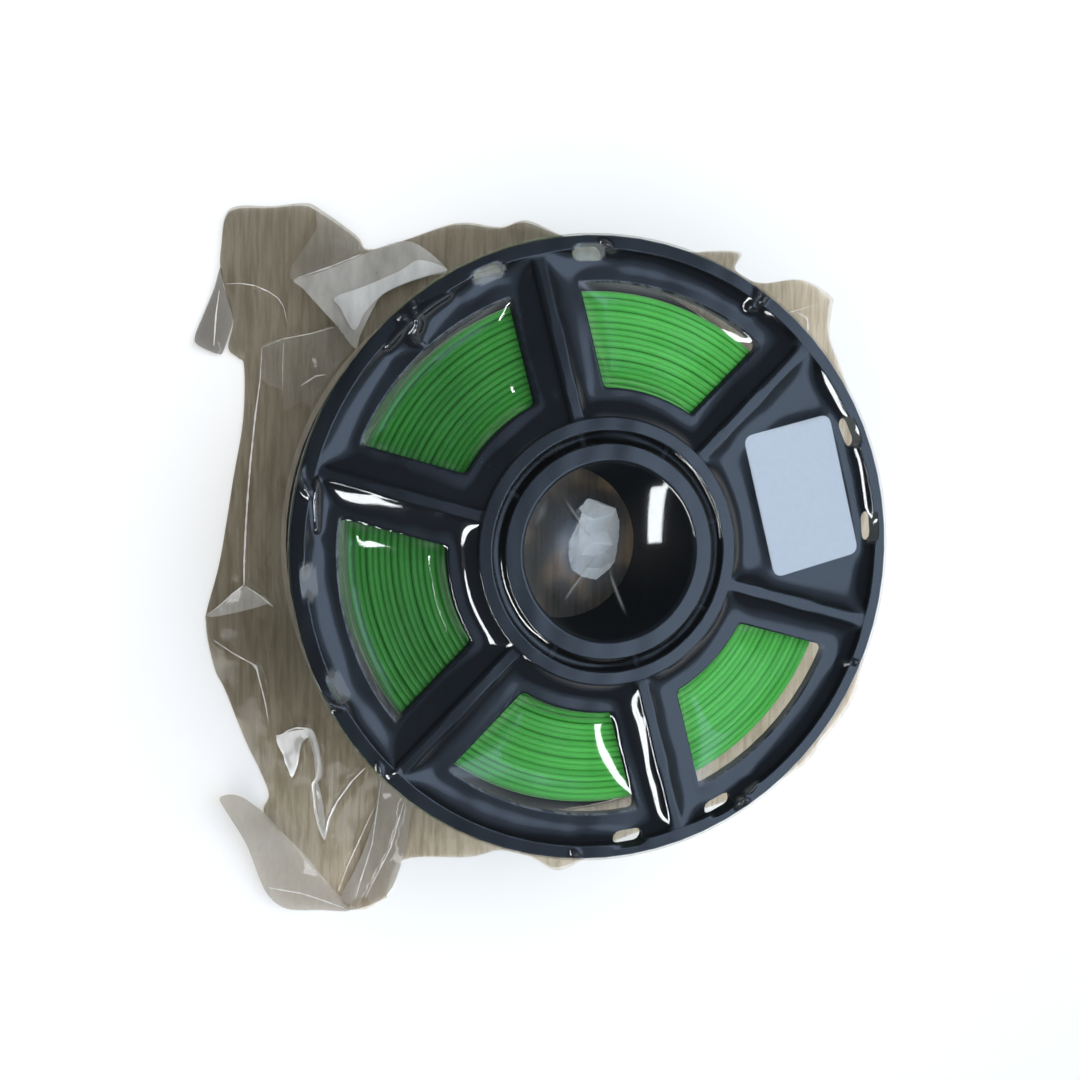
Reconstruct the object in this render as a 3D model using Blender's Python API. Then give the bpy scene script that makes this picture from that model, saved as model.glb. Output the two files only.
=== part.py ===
"""Filament spool, vacuum packed: two moulded halves, wound strand, label, drying sachet and bag.

Metres, +Z up. The origin is on the spool's axis, at the level of the surface that the bag lies on.
The closed sector of the front flange, which carries the label, is centred on +X.
"""

import math

import bmesh
import bpy
import numpy as np
from mathutils import Matrix, Vector

MM = 0.001

# Clearance that separate pieces keep to each other
FIT_GAP = 0.3 * MM

# Flange moulding
FLANGE_RADIUS = 90.0 * MM
SPOOL_WIDTH = 51.5 * MM
WEB_THICKNESS = 3.0 * MM
RIB_HEIGHT = 2.2 * MM
RIB_WIDTH = 4.2 * MM
RIB_COUNT = 6
RIB_CHAMFER = 0.5 * MM
RIB_STEP = 0.15 * MM
RIM_WIDTH = 4.0 * MM
RIM_CHAMFER = 0.6 * MM

# Windows between the ribs, one sector left closed for the label
WINDOW_RIM_LAND = 12.6 * MM
WINDOW_HUB_LAND = 8.5 * MM
WINDOW_RIB_OFFSET = 10.4 * MM
WINDOW_CORNER_RADIUS = 1.6 * MM

# Paired slots by the rim, where a free end of filament is clipped
SLOT_PAIRS = 4
SLOT_SPREAD = math.radians(20.2)
SLOT_LENGTH = 9.5 * MM
SLOT_WIDTH = 4.6 * MM
SLOT_INSET = 4.7 * MM

# Hub: bore tube with its collar, open groove, barrel
BORE_RADIUS = 25.65 * MM
BORE_WALL = 3.0 * MM
BORE_CHAMFER = 0.6 * MM
COLLAR_WIDTH = 5.55 * MM
COLLAR_THICKNESS = 3.0 * MM
GROOVE_WIDTH = 3.8 * MM
BARREL_WALL = 3.85 * MM
HUB_WEB_COUNT = 8
HUB_WEB_THICKNESS = 1.3 * MM
HUB_WEB_DROP = 1.2 * MM
SPIGOT_LENGTH = 5.0 * MM

# Winding
STRAND_DIAMETER = 1.75 * MM
TURN_GAP = 0.45 * MM
WINDING_DEPTH = 36.75 * MM
WINDING_SIDE_GAP = 0.4 * MM

# Label on the closed sector
LABEL_WIDTH = 29.3 * MM
LABEL_RIM_GAP = 7.5 * MM
LABEL_RIB_GAP = 3.5 * MM
LABEL_CORNER_RADIUS = 2.6 * MM
LABEL_THICKNESS = 0.3 * MM

# Drying sachet in the bore
SACHET_LENGTH = 28.0 * MM
SACHET_WIDTH = 18.0 * MM
SACHET_HEIGHT = 9.0 * MM
SACHET_WALL_GAP = 6.5 * MM
SACHET_CRUMPLE = 0.9 * MM
SACHET_SQUARENESS = 0.62
SACHET_WAVES = ((7, 3), (-4, 5))

# Bag: its films, and how the front one is drawn in between the flanges
FILM_THICKNESS = 0.4 * MM
FILM_EDGE_STEP = 1.0 * MM
FILM_DRAW = 4.2 * MM
FILM_WAIST = 21.0 * MM

# How far the bag's welded edge lies beyond the rim, as (degrees round the axis, count of margin units)
MARGIN_UNIT = 1.0 * MM
BAG_MARGINS = (
    (0, 24), (14, 27), (26, 39), (36, 27), (44, 27), (54, 14), (66, 10), (78, 13), (90, 17), (103, 20),
    (110, 28), (120, 55), (130, 48), (138, 33), (147, 19), (158, 18), (172, 23), (185, 28), (197, 31),
    (206, 45), (215, 58), (223, 49), (230, 29), (243, 16), (255, 22), (268, 16), (285, 18), (302, 32),
    (316, 34), (332, 26), (346, 22),
)

# Facets
SEGMENTS = 72
LOOP_POINTS = 24
CORNER_STEPS = 3
SACHET_SEGMENTS = 24
SACHET_RINGS = 12
FILM_SEGMENTS = 40
FLAT_ANGLE = math.radians(0.5)
SMOOTH_ANGLE = math.radians(35)

# Radii and heights that follow from the sizes above
HALF_WIDTH = SPOOL_WIDTH / 2
COLLAR_RADIUS = BORE_RADIUS + COLLAR_WIDTH
BARREL_INNER = COLLAR_RADIUS + GROOVE_WIDTH
BARREL_RADIUS = BARREL_INNER + BARREL_WALL
RIM_INNER = FLANGE_RADIUS - RIM_WIDTH
WEB_TOP = HALF_WIDTH - RIB_HEIGHT
WEB_LOW = WEB_TOP - WEB_THICKNESS
SECTOR_HALF = math.pi / RIB_COUNT
BASE_HEIGHT = FILM_THICKNESS + FIT_GAP
MID_HEIGHT = BASE_HEIGHT + HALF_WIDTH
WINDING_HALF = WEB_LOW - WINDING_SIDE_GAP
TURN_PITCH = STRAND_DIAMETER + TURN_GAP
HELIX_RADIUS = BARREL_RADIUS + WINDING_DEPTH - STRAND_DIAMETER / 2

BLACK_PLASTIC = (0.018, 0.020, 0.024)
GREEN_FILAMENT = (0.10, 0.46, 0.13)
LABEL_PAPER = (0.72, 0.77, 0.84)
SACHET_PAPER = (0.78, 0.80, 0.80)
CLEAR_FILM = (0.62, 0.60, 0.56)


def clear_scene():
    for obj in list(bpy.data.objects):
        bpy.data.objects.remove(obj)


def coat(obj, colour, roughness, alpha=1.0):
    """Gives an object a material of its own."""
    finish = bpy.data.materials.new(obj.name)
    finish.use_nodes = True
    shader = finish.node_tree.nodes["Principled BSDF"]
    shader.inputs["Base Color"].default_value = (*colour, 1)
    shader.inputs["Roughness"].default_value = roughness
    shader.inputs["Metallic"].default_value = 0.0
    shader.inputs["Alpha"].default_value = alpha
    obj.data.materials.append(finish)


def add_mesh(name, bm):
    """Turns a bmesh into a scene object, smooth except across sharp edges."""
    bmesh.ops.remove_doubles(bm, verts=bm.verts, dist=1e-7)
    bmesh.ops.recalc_face_normals(bm, faces=bm.faces)
    mesh = bpy.data.meshes.new(name)
    bm.to_mesh(mesh)
    bm.free()
    mesh.shade_smooth()
    mesh.set_sharp_from_angle(angle=SMOOTH_ANGLE)
    obj = bpy.data.objects.new(name, mesh)
    bpy.context.scene.collection.objects.link(obj)
    return obj


def combine(obj, helper, operation):
    """Adds a Boolean of a hidden helper object."""
    helper.hide_render = True
    helper.display_type = "WIRE"
    modifier = obj.modifiers.new(helper.name, "BOOLEAN")
    modifier.operation = operation
    modifier.solver = "EXACT"
    modifier.object = helper


def polar(radius, angle):
    return Vector((radius * math.cos(angle), radius * math.sin(angle)))


def turned(profile):
    """A closed profile of (radius, height) points turned once round the Z axis."""
    bm = bmesh.new()
    verts = [bm.verts.new((radius, 0, height)) for radius, height in profile]
    edges = [bm.edges.new((verts[i - 1], verts[i])) for i in range(len(verts))]
    full = 2 * math.pi
    bmesh.ops.spin(
        bm, geom=verts + edges, axis=(0, 0, 1), cent=(0, 0, 0), angle=full, steps=SEGMENTS, use_merge=True
    )
    return bm


def add_extrusion(bm, corners, travel):
    """Adds a solid: the face through the given corners, swept along a straight travel."""
    face = bm.faces.new([bm.verts.new(corner) for corner in corners])
    swept = bmesh.ops.extrude_face_region(bm, geom=[face], use_keep_orig=True)
    moved = [item for item in swept["geom"] if isinstance(item, bmesh.types.BMVert)]
    bmesh.ops.translate(bm, vec=travel, verts=moved)
    return list(face.verts) + moved


def add_prism(bm, outline, low, high):
    """Adds an upright prism over an outline of (x, y) points."""
    add_extrusion(bm, [(x, y, low) for x, y in outline], (0, 0, high - low))


def add_spoke(bm, section, start, end, angle):
    """Adds a radial bar: a section of (across, height) points swept from one radius to another."""
    verts = add_extrusion(bm, [(start, across, height) for across, height in section], (end - start, 0, 0))
    bmesh.ops.rotate(bm, verts=verts, cent=(0, 0, 0), matrix=Matrix.Rotation(angle, 3, "Z"))


def rounded(outline, corners, radius):
    """Replaces the listed corners of an outline with arcs."""
    points = []
    for i, corner in enumerate(outline):
        if i not in corners:
            points.append(corner)
            continue
        before = (outline[i - 1] - corner).normalized()
        after = (outline[(i + 1) % len(outline)] - corner).normalized()
        half = before.angle(after) / 2
        centre = corner + (before + after).normalized() * radius / math.sin(half)
        start = corner + before * radius / math.tan(half) - centre
        turn = start.angle_signed(corner + after * radius / math.tan(half) - centre)
        for step in range(CORNER_STEPS + 1):
            points.append(centre + Matrix.Rotation(-turn * step / CORNER_STEPS, 2) @ start)
    return points


def window_outline(angle):
    """One window: arcs round the axis, sides parallel to the two ribs, small round corners."""
    inner = BARREL_RADIUS + WINDOW_HUB_LAND
    outer = FLANGE_RADIUS - WINDOW_RIM_LAND
    outline = []
    for radius, sign in ((outer, 1), (inner, -1)):
        half = SECTOR_HALF - math.asin(WINDOW_RIB_OFFSET / radius)
        steps = max(2, round(half * SEGMENTS / math.pi))
        for step in range(steps + 1):
            outline.append(polar(radius, angle + sign * half * (2 * step / steps - 1)))
    first_inner = next(i for i, point in enumerate(outline) if point.length < (inner + outer) / 2)
    corners = (0, first_inner - 1, first_inner, len(outline) - 1)
    return rounded(outline, corners, WINDOW_CORNER_RADIUS)


def slot_outline(angle):
    """One round-ended slot, its length along the rim."""
    radius = SLOT_WIDTH / 2
    reach = SLOT_LENGTH / 2 - radius
    centre = polar(FLANGE_RADIUS - SLOT_INSET, angle)
    outline = []
    for side in (1, -1):
        for step in range(2 * CORNER_STEPS + 1):
            sweep = math.pi * step / (2 * CORNER_STEPS)
            along = side * (reach + radius * math.sin(sweep))
            out = side * radius * math.cos(sweep)
            outline.append(centre + Matrix.Rotation(angle, 2) @ Vector((out, along)))
    return outline


def flange_profile(has_spigot):
    """Section of one half's disc, rim and barrel; the outer face is up and the joint is at height 0."""
    joint = FIT_GAP / 2
    spigot_radius = BARREL_INNER + (BARREL_WALL - FIT_GAP) / 2
    socket_radius = spigot_radius + FIT_GAP
    socket_depth = SPIGOT_LENGTH + FIT_GAP
    if has_spigot:
        end = [(BARREL_INNER, -SPIGOT_LENGTH), (spigot_radius, -SPIGOT_LENGTH), (spigot_radius, joint)]
    else:
        end = [(BARREL_INNER, socket_depth), (socket_radius, socket_depth), (socket_radius, joint)]
    return end + [
        (BARREL_RADIUS, joint),
        (BARREL_RADIUS, WEB_LOW),
        (FLANGE_RADIUS - RIM_CHAMFER, WEB_LOW),
        (FLANGE_RADIUS, WEB_LOW + RIM_CHAMFER),
        (FLANGE_RADIUS, HALF_WIDTH - RIM_CHAMFER),
        (FLANGE_RADIUS - RIM_CHAMFER, HALF_WIDTH),
        (RIM_INNER, HALF_WIDTH),
        (RIM_INNER, WEB_TOP),
        (BARREL_RADIUS, WEB_TOP),
        (BARREL_RADIUS, HALF_WIDTH),
        (BARREL_INNER, HALF_WIDTH),
    ]


def bore_profile():
    """Section of the bore tube and of the flat collar round its mouth."""
    tube_radius = BORE_RADIUS + BORE_WALL
    return [
        (BORE_RADIUS, FIT_GAP / 2),
        (tube_radius, FIT_GAP / 2),
        (tube_radius, HALF_WIDTH - COLLAR_THICKNESS),
        (COLLAR_RADIUS, HALF_WIDTH - COLLAR_THICKNESS),
        (COLLAR_RADIUS, HALF_WIDTH),
        (BORE_RADIUS + BORE_CHAMFER, HALF_WIDTH),
        (BORE_RADIUS, HALF_WIDTH - BORE_CHAMFER),
    ]


def add_spokes(name):
    """The ribs on the disc and the thin webs that hold the bore tube in the barrel."""
    bm = bmesh.new()
    rib_half = RIB_WIDTH / 2
    rib_top = HALF_WIDTH - RIB_STEP
    rib_foot = WEB_TOP - WEB_THICKNESS / 2
    rib_section = (
        (-rib_half, rib_foot),
        (rib_half, rib_foot),
        (rib_half, rib_top - RIB_CHAMFER),
        (rib_half - RIB_CHAMFER, rib_top),
        (RIB_CHAMFER - rib_half, rib_top),
        (-rib_half, rib_top - RIB_CHAMFER),
    )
    for k in range(RIB_COUNT):
        angle = SECTOR_HALF * (2 * k + 1)
        add_spoke(bm, rib_section, BARREL_RADIUS - BARREL_WALL / 4, RIM_INNER + RIM_WIDTH / 2, angle)
    web_half = HUB_WEB_THICKNESS / 2
    web_foot = SPIGOT_LENGTH + 4 * FIT_GAP
    web_top = HALF_WIDTH - HUB_WEB_DROP
    web_section = ((-web_half, web_foot), (web_half, web_foot), (web_half, web_top), (-web_half, web_top))
    for k in range(HUB_WEB_COUNT):
        angle = 2 * math.pi * k / HUB_WEB_COUNT
        add_spoke(bm, web_section, BORE_RADIUS + BORE_WALL / 2, BARREL_INNER + BARREL_WALL / 4, angle)
    return add_mesh(name, bm)


def add_cutouts(name):
    """The windows and slots of one disc, as a cutter that passes through it."""
    bm = bmesh.new()
    low = WEB_LOW - WEB_THICKNESS
    high = HALF_WIDTH + WEB_THICKNESS
    for k in range(1, RIB_COUNT):
        add_prism(bm, window_outline(2 * SECTOR_HALF * k), low, high)
    for k in range(SLOT_PAIRS):
        for side in (-1, 1):
            angle = 2 * math.pi * k / SLOT_PAIRS + side * SLOT_SPREAD / 2
            add_prism(bm, slot_outline(angle), low, high)
    return add_mesh(name, bm)


def make_half(name, faces_up):
    """One half of the spool: disc, rim, ribs and half the hub, with a spigot or a socket at the joint."""
    half = add_mesh(name, turned(flange_profile(has_spigot=faces_up)))
    spokes = add_spokes(name + "_spokes")
    bore_tube = add_mesh(name + "_bore_tube", turned(bore_profile()))
    cutouts = add_cutouts(name + "_cutouts")
    combine(half, spokes, "UNION")
    combine(half, bore_tube, "UNION")
    combine(half, cutouts, "DIFFERENCE")
    for helper in (spokes, bore_tube, cutouts):
        helper.parent = half
    half.location.z = MID_HEIGHT
    half.rotation_euler.x = 0.0 if faces_up else math.pi
    coat(half, BLACK_PLASTIC, 0.42)


def least_gap(points):
    """Least clear distance between turns, measured on the points and on the middles of their spans."""
    path = np.array(points)
    path = np.concatenate([path, (path[1:] + path[:-1]) / 2])
    order = np.concatenate([np.arange(len(points)), np.arange(len(points) - 1) + 0.5])
    apart = np.linalg.norm(path[:, None] - path[None], axis=2)
    apart[np.abs(order[:, None] - order[None]) < LOOP_POINTS / 2] = np.inf
    return apart.min() - STRAND_DIAMETER


def wind(name, points):
    """One unbroken strand along the points, its ends run on straight for one diameter."""
    ends = [(points[0], points[1]), (points[-1], points[-2])]
    first, last = (end + (end - inner).normalized() * STRAND_DIAMETER for end, inner in ends)
    print(f"{name}: least gap between turns {least_gap(points) / MM:.2f} mm")
    curve = bpy.data.curves.new(name, "CURVE")
    curve.dimensions = "3D"
    curve.twist_mode = "Z_UP"
    curve.bevel_depth = STRAND_DIAMETER / 2
    curve.bevel_resolution = 1
    curve.use_fill_caps = True
    route = [first, *points, last]
    spline = curve.splines.new("POLY")
    spline.points.add(len(route) - 1)
    for place, point in zip(spline.points, route):
        place.co = (*point, 1)
    strand = bpy.data.objects.new(name, curve)
    strand.location.z = MID_HEIGHT
    bpy.context.scene.collection.objects.link(strand)
    coat(strand, GREEN_FILAMENT, 0.35)


def make_winding():
    """A plain core of inner layers, the outer layer's helix and the layers' front ends as a spiral."""
    strand_radius = STRAND_DIAMETER / 2
    core_radius = HELIX_RADIUS * math.cos(math.pi / LOOP_POINTS) - strand_radius - FIT_GAP
    core_front = WINDING_HALF - STRAND_DIAMETER - FIT_GAP
    inner = BARREL_RADIUS + FIT_GAP
    section = [
        (inner, -WINDING_HALF), (core_radius, -WINDING_HALF), (core_radius, core_front), (inner, core_front),
    ]
    core = add_mesh("filament_core", turned(section))
    core.location.z = MID_HEIGHT
    coat(core, GREEN_FILAMENT, 0.4)

    front = WINDING_HALF - strand_radius
    loops = int(2 * front / TURN_PITCH)
    count = loops * LOOP_POINTS
    helix = []
    for i in range(count + 1):
        place = polar(HELIX_RADIUS, 2 * math.pi * i / LOOP_POINTS)
        helix.append(place.to_3d() + Vector((0, 0, front * (2 * i / count - 1))))
    wind("filament_outer_turns", helix)

    outer = HELIX_RADIUS - TURN_PITCH
    reach = outer - (BARREL_RADIUS + WINDOW_HUB_LAND - STRAND_DIAMETER)
    loops = int(reach / TURN_PITCH)
    count = loops * LOOP_POINTS
    spiral = []
    for i in range(count + 1):
        place = polar(outer - loops * TURN_PITCH * i / count, 2 * math.pi * i / LOOP_POINTS)
        spiral.append(place.to_3d() + Vector((0, 0, front)))
    wind("filament_front_turns", spiral)


def make_label():
    """Rounded paper label, its long side across the closed sector, clear of both ribs."""
    outer = RIM_INNER - LABEL_RIM_GAP
    inner = outer - LABEL_WIDTH
    clear = RIB_WIDTH / 2 + LABEL_RIB_GAP
    half_length = (inner * math.sin(SECTOR_HALF) - clear) / math.cos(SECTOR_HALF)
    outline = [Vector(c) for c in (
        (inner, -half_length), (outer, -half_length), (outer, half_length), (inner, half_length),
    )]
    bm = bmesh.new()
    low = WEB_TOP + FIT_GAP
    add_prism(bm, rounded(outline, range(4), LABEL_CORNER_RADIUS), low, low + LABEL_THICKNESS)
    label = add_mesh("label", bm)
    label.location.z = MID_HEIGHT
    coat(label, LABEL_PAPER, 0.55)


def make_sachet():
    """Small paper pouch, crowned and crumpled, flat where it lies on the back film."""
    bm = bmesh.new()
    bmesh.ops.create_uvsphere(bm, u_segments=SACHET_SEGMENTS, v_segments=SACHET_RINGS, radius=1)
    for vert in bm.verts:
        x, y, z = vert.co
        first, second = (across * x + along * y for across, along in SACHET_WAVES)
        folds = math.sin(first) * math.cos(second)
        vert.co.x = math.copysign(abs(x) ** SACHET_SQUARENESS, x) * SACHET_WIDTH / 2
        vert.co.y = math.copysign(abs(y) ** SACHET_SQUARENESS, y) * SACHET_LENGTH / 2
        vert.co.z = max(z, 0) * (SACHET_HEIGHT - SACHET_CRUMPLE) + max(z, 0) * folds * SACHET_CRUMPLE
    bmesh.ops.dissolve_limit(bm, angle_limit=FLAT_ANGLE, verts=bm.verts, edges=bm.edges)
    sachet = add_mesh("desiccant_sachet", bm)
    sachet.location = (BORE_RADIUS - SACHET_WALL_GAP - SACHET_WIDTH / 2, 0, BASE_HEIGHT)
    coat(sachet, SACHET_PAPER, 0.7)


def bag_edge(inset):
    """The bag's edge, as points evenly spaced in angle: the margin beyond the rim there, less an inset."""
    degrees, margins = zip(*BAG_MARGINS)
    edge = []
    for k in range(FILM_SEGMENTS):
        angle = 2 * math.pi * k / FILM_SEGMENTS
        margin = np.interp(math.degrees(angle), degrees, margins, period=360) * MARGIN_UNIT
        edge.append(polar(FLANGE_RADIUS + margin - inset, angle))
    return edge


def film_section(edge):
    """Section of the front film as (radius, height): its side, drawn in at the waist, and its margin."""
    reach = (FLANGE_RADIUS + FIT_GAP) / math.cos(math.pi / FILM_SEGMENTS)
    waist = reach - FILM_DRAW
    # Each inner point with the steps, out and up, to the outer point across the film
    steps = (
        (reach, MID_HEIGHT + HALF_WIDTH, 1, 0),
        (reach, MID_HEIGHT + WEB_LOW, 1, 0),
        (waist, MID_HEIGHT + FILM_WAIST / 2, 1, 0),
        (waist, MID_HEIGHT - FILM_WAIST / 2, 1, 0),
        (reach, MID_HEIGHT - WEB_LOW, 1, 0),
        (reach, BASE_HEIGHT, 1, 1),
        (edge, BASE_HEIGHT, 0, 1),
    )
    inner = [(radius, height) for radius, height, out, up in steps]
    outer = [
        (radius + out * FILM_THICKNESS, height + up * FILM_THICKNESS) for radius, height, out, up in steps
    ]
    return inner + outer[::-1]


def make_films():
    """The back film under the spool, and the front film round its side and out to the welded edge."""
    bm = bmesh.new()
    add_prism(bm, bag_edge(0), 0, FILM_THICKNESS)
    back = add_mesh("bag_back_film", bm)
    coat(back, CLEAR_FILM, 0.15, alpha=0.35)

    bm = bmesh.new()
    columns = []
    for point in bag_edge(FILM_EDGE_STEP):
        way = point.normalized()
        section = film_section(point.length)
        columns.append([bm.verts.new((*(way * radius), height)) for radius, height in section])
    for one, other in zip(columns, columns[1:] + columns[:1]):
        for i in range(len(one)):
            bm.faces.new((one[i - 1], one[i], other[i], other[i - 1]))
    front = add_mesh("bag_front_film", bm)
    coat(front, CLEAR_FILM, 0.15, alpha=0.35)


def main():
    clear_scene()
    make_half("front_flange", faces_up=True)
    make_half("back_flange", faces_up=False)
    make_winding()
    make_label()
    make_sachet()
    make_films()


main()
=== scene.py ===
"""Filament spool sealed in a clear bag: the looks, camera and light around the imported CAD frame.

Lengths below are in millimetres unless a name says otherwise; meshes are scaled to metres when they are made.
"""

import math

import bmesh
import bpy
import numpy as np
from mathutils import Matrix, Vector
from mathutils.geometry import delaunay_2d_cdt


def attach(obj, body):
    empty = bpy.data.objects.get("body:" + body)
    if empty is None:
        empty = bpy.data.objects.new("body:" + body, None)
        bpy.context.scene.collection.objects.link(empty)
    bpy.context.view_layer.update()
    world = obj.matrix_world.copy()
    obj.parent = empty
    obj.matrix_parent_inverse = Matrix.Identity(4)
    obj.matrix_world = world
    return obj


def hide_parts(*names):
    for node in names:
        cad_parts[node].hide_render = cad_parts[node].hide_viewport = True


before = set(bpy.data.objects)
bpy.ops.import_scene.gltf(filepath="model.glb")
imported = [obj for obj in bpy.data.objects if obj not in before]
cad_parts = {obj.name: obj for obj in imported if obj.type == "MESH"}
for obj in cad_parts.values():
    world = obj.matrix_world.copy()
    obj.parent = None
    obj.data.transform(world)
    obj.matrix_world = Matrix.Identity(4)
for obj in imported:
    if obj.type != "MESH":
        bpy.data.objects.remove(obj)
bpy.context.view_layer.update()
MM = 0.001

# Sizes that the CAD model has
FLANGE_RADIUS = 90.0
RIM_INNER = 86.0
BORE_RADIUS = 25.65
COLLAR_RADIUS = 31.2
BARREL_INNER = 35.0
BARREL_RADIUS = 38.85
FRONT_TOP = 52.2
RIB_TOP = 52.05
HUB_WEB_TOP = 51.0
PLATE_TOP = 50.0
HUB_WEB_HALF = 0.65
HUB_WEB_ANGLES = np.arange(8) * np.pi / 4
RIB_HALF = 2.1
RIB_ANGLES = np.radians(np.arange(30, 360, 60))
WINDOW_ANGLES = np.radians(np.arange(60, 360, 60))
WINDOW_INNER = 47.35
WINDOW_OUTER = 77.4
WINDOW_SIDE = 10.4
SLOT_ANGLES = np.radians([k * 90 + side * 10.1 for k in range(4) for side in (-1, 1)])
SLOT_RADIUS = 85.3
SLOT_HALF_WIDTH = 2.3
SLOT_REACH = 2.45
LABEL_X = (49.2, 78.5)
LABEL_HALF = 21.95
LABEL_TOP = 50.6

# Strand and winding
STRAND_RADIUS = 0.875
STRAND_PITCH = 1.765
END_RADIUS = 0.965
WINDING_OUTER = 75.6
WINDING_FRONT = 46.55
WINDING_BACK = 6.35


def smooth_noise(rng, places, period, knots):
    """Smooth periodic noise in -1..1, read at the given places."""
    values = rng.uniform(-1, 1, knots)
    at = np.asarray(places) / period * knots
    low = np.floor(at).astype(int)
    t = at - low
    t = t * t * (3 - 2 * t)
    return values[low % knots] * (1 - t) + values[(low + 1) % knots] * t


def add_mesh(name, points, faces, materials, slots=None):
    """Makes an object from points in millimetres."""
    mesh = bpy.data.meshes.new(name)
    mesh.from_pydata((np.asarray(points, float) * MM).tolist(), [], faces)
    mesh.validate()
    for material in materials:
        mesh.materials.append(material)
    if slots is not None:
        mesh.polygons.foreach_set("material_index", slots)
    mesh.polygons.foreach_set("use_smooth", [True] * len(mesh.polygons))
    obj = bpy.data.objects.new(name, mesh)
    bpy.context.scene.collection.objects.link(obj)
    return obj


# Materials

class Tree:
    """A node tree being filled, with short ways to add what the materials need."""

    def __init__(self, owner, output):
        owner.use_nodes = True
        self.owner = owner
        self.nodes = owner.node_tree.nodes
        self.links = owner.node_tree.links
        self.nodes.clear()
        self.output = self.nodes.new(output)

    def add(self, kind, inputs, **settings):
        """Adds a node. Each of its inputs is a value or another node's output."""
        node = self.nodes.new("ShaderNode" + kind)
        for name, value in settings.items():
            setattr(node, name, value)
        for key, value in inputs.items():
            if isinstance(value, bpy.types.NodeSocket):
                self.links.new(value, node.inputs[key])
            else:
                node.inputs[key].default_value = value
        return node

    def show(self, node):
        """Makes a shader the result, and gives back what the tree is for."""
        self.links.new(node.outputs[0], self.output.inputs["Surface"])
        return self.owner

    def place(self):
        return self.add("TexCoord", {}).outputs["Object"]

    def noise(self, scale, detail=3.0, roughness=0.5, stretch=None):
        """A noise texture in the object's own coordinates; scale is in features per metre.

        A stretch draws the features out along the bag's length.
        """
        place = self.place()
        if stretch:
            turned = {"Vector": place, "Rotation": (0, 0, BAG_TURN), "Scale": (1, stretch, 1)}
            place = self.add("Mapping", turned, vector_type="TEXTURE").outputs["Vector"]
        inputs = {"Vector": place, "Scale": scale, "Detail": detail, "Roughness": roughness}
        return self.add("TexNoise", inputs).outputs["Fac"]

    def ramp(self, source, stops):
        """Maps a value to colours, given as (place, colour) stops."""
        node = self.add("ValToRGB", {"Fac": source})
        elements = node.color_ramp.elements
        while len(elements) < len(stops):
            elements.new(0.5)
        for element, (place, colour) in zip(elements, stops):
            element.position = place
            element.color = (*colour, 1)
        return node.outputs["Color"]

    def spread(self, source, low, high, start=0.3, end=0.7):
        """Maps values between a start and an end to a range; the usual ones suit a noise."""
        inputs = {"Value": source, "From Min": start, "From Max": end, "To Min": low, "To Max": high}
        return self.add("MapRange", inputs).outputs["Result"]

    def bump(self, source, depth, strength=1.0):
        """A bump of the given depth in millimetres."""
        inputs = {"Height": source, "Distance": depth * MM, "Strength": strength}
        return self.add("Bump", inputs).outputs["Normal"]

    def math(self, operation, one, other):
        return self.add("Math", {0: one, 1: other}, operation=operation).outputs["Value"]

    def multiply(self, one, other):
        return self.add("VectorMath", {0: one, 1: other}, operation="MULTIPLY").outputs["Vector"]

    def distance(self, centre, reach):
        """Distance from a point as a share of a reach, both in millimetres."""
        apart = self.add("VectorMath", {0: self.place(), 1: Vector(centre) * MM}, operation="DISTANCE")
        return self.math("DIVIDE", apart.outputs["Value"], reach * MM)

    def from_axis(self):
        """Distance from the spool's axis in metres, and the coordinates that it comes from."""
        parts = self.add("SeparateXYZ", {"Vector": self.place()}).outputs
        flat = self.add("CombineXYZ", {"X": parts["X"], "Y": parts["Y"]}).outputs["Vector"]
        return self.add("VectorMath", {0: flat}, operation="LENGTH").outputs["Value"], parts


def new_material(name):
    return Tree(bpy.data.materials.new(name), "ShaderNodeOutputMaterial")


def black_plastic():
    """Moulded black plastic: fine spark-eroded grain, slightly uneven gloss, and a dull wall in the bore; the
    blue cast of its near-black colour is a painted sheen.
    """
    tree = new_material("black_moulding")
    away, _ = tree.from_axis()
    wall = BORE_RADIUS * MM
    # Painted sheen: the near-black shades carry a blue cast that stands in for a reflection of the bluish
    # ceiling
    shades = [(0.3, (0.0036, 0.0055, 0.0085)), (0.7, (0.0056, 0.0080, 0.0120))]
    shader = tree.add("BsdfPrincipled", {
        "Base Color": tree.ramp(tree.noise(60, 4), shades),
        "Roughness": tree.spread(tree.noise(240), 0.46, 0.58),
        "Specular IOR Level": tree.spread(away, 0.0, 0.06, wall + 0.05 * MM, wall + 0.15 * MM),
        "Normal": tree.bump(tree.noise(4200, 2), 0.002, 0.25),
    })
    return tree.show(shader)


def green_strand():
    """Extruded green plastic: glossy, each turn of a slightly different shade, with slow changes along it,
    and painted shade that darkens it towards the left.
    """
    tree = new_material("green_strand")
    away, parts = tree.from_axis()
    slow = tree.math("MULTIPLY", parts["Y"], 0.06)
    place = tree.add("CombineXYZ", {"X": away, "Y": slow}).outputs["Vector"]
    rings = tree.add("TexNoise", {"Vector": place, "Scale": 420, "Detail": 1.0}, noise_dimensions="2D")
    shades = [(0.3, (0.068, 0.395, 0.065)), (0.7, (0.100, 0.500, 0.096))]
    # Painted shade: the strand's colour darkens towards the left of the spool
    painted_shade = tree.ramp(tree.distance(STRAND_SHADE_CENTRE, STRAND_SHADE_REACH), [(0.5, (0.28, 0.365, 0.28)), (1.0, WHITE)])
    shader = tree.add("BsdfPrincipled", {
        "Base Color": tree.multiply(tree.ramp(rings.outputs["Fac"], shades), painted_shade),
        "Roughness": tree.spread(tree.noise(160), 0.30, 0.40),
        "Normal": tree.bump(tree.noise(2400, 2), 0.01, 0.3),
        "Specular IOR Level": 0.25,
        "Subsurface Weight": 0.5,
        "Subsurface Radius": (0.4, 1.0, 0.4),
        "Subsurface Scale": 1.4 * MM,
    })
    return tree.show(shader)


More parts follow.
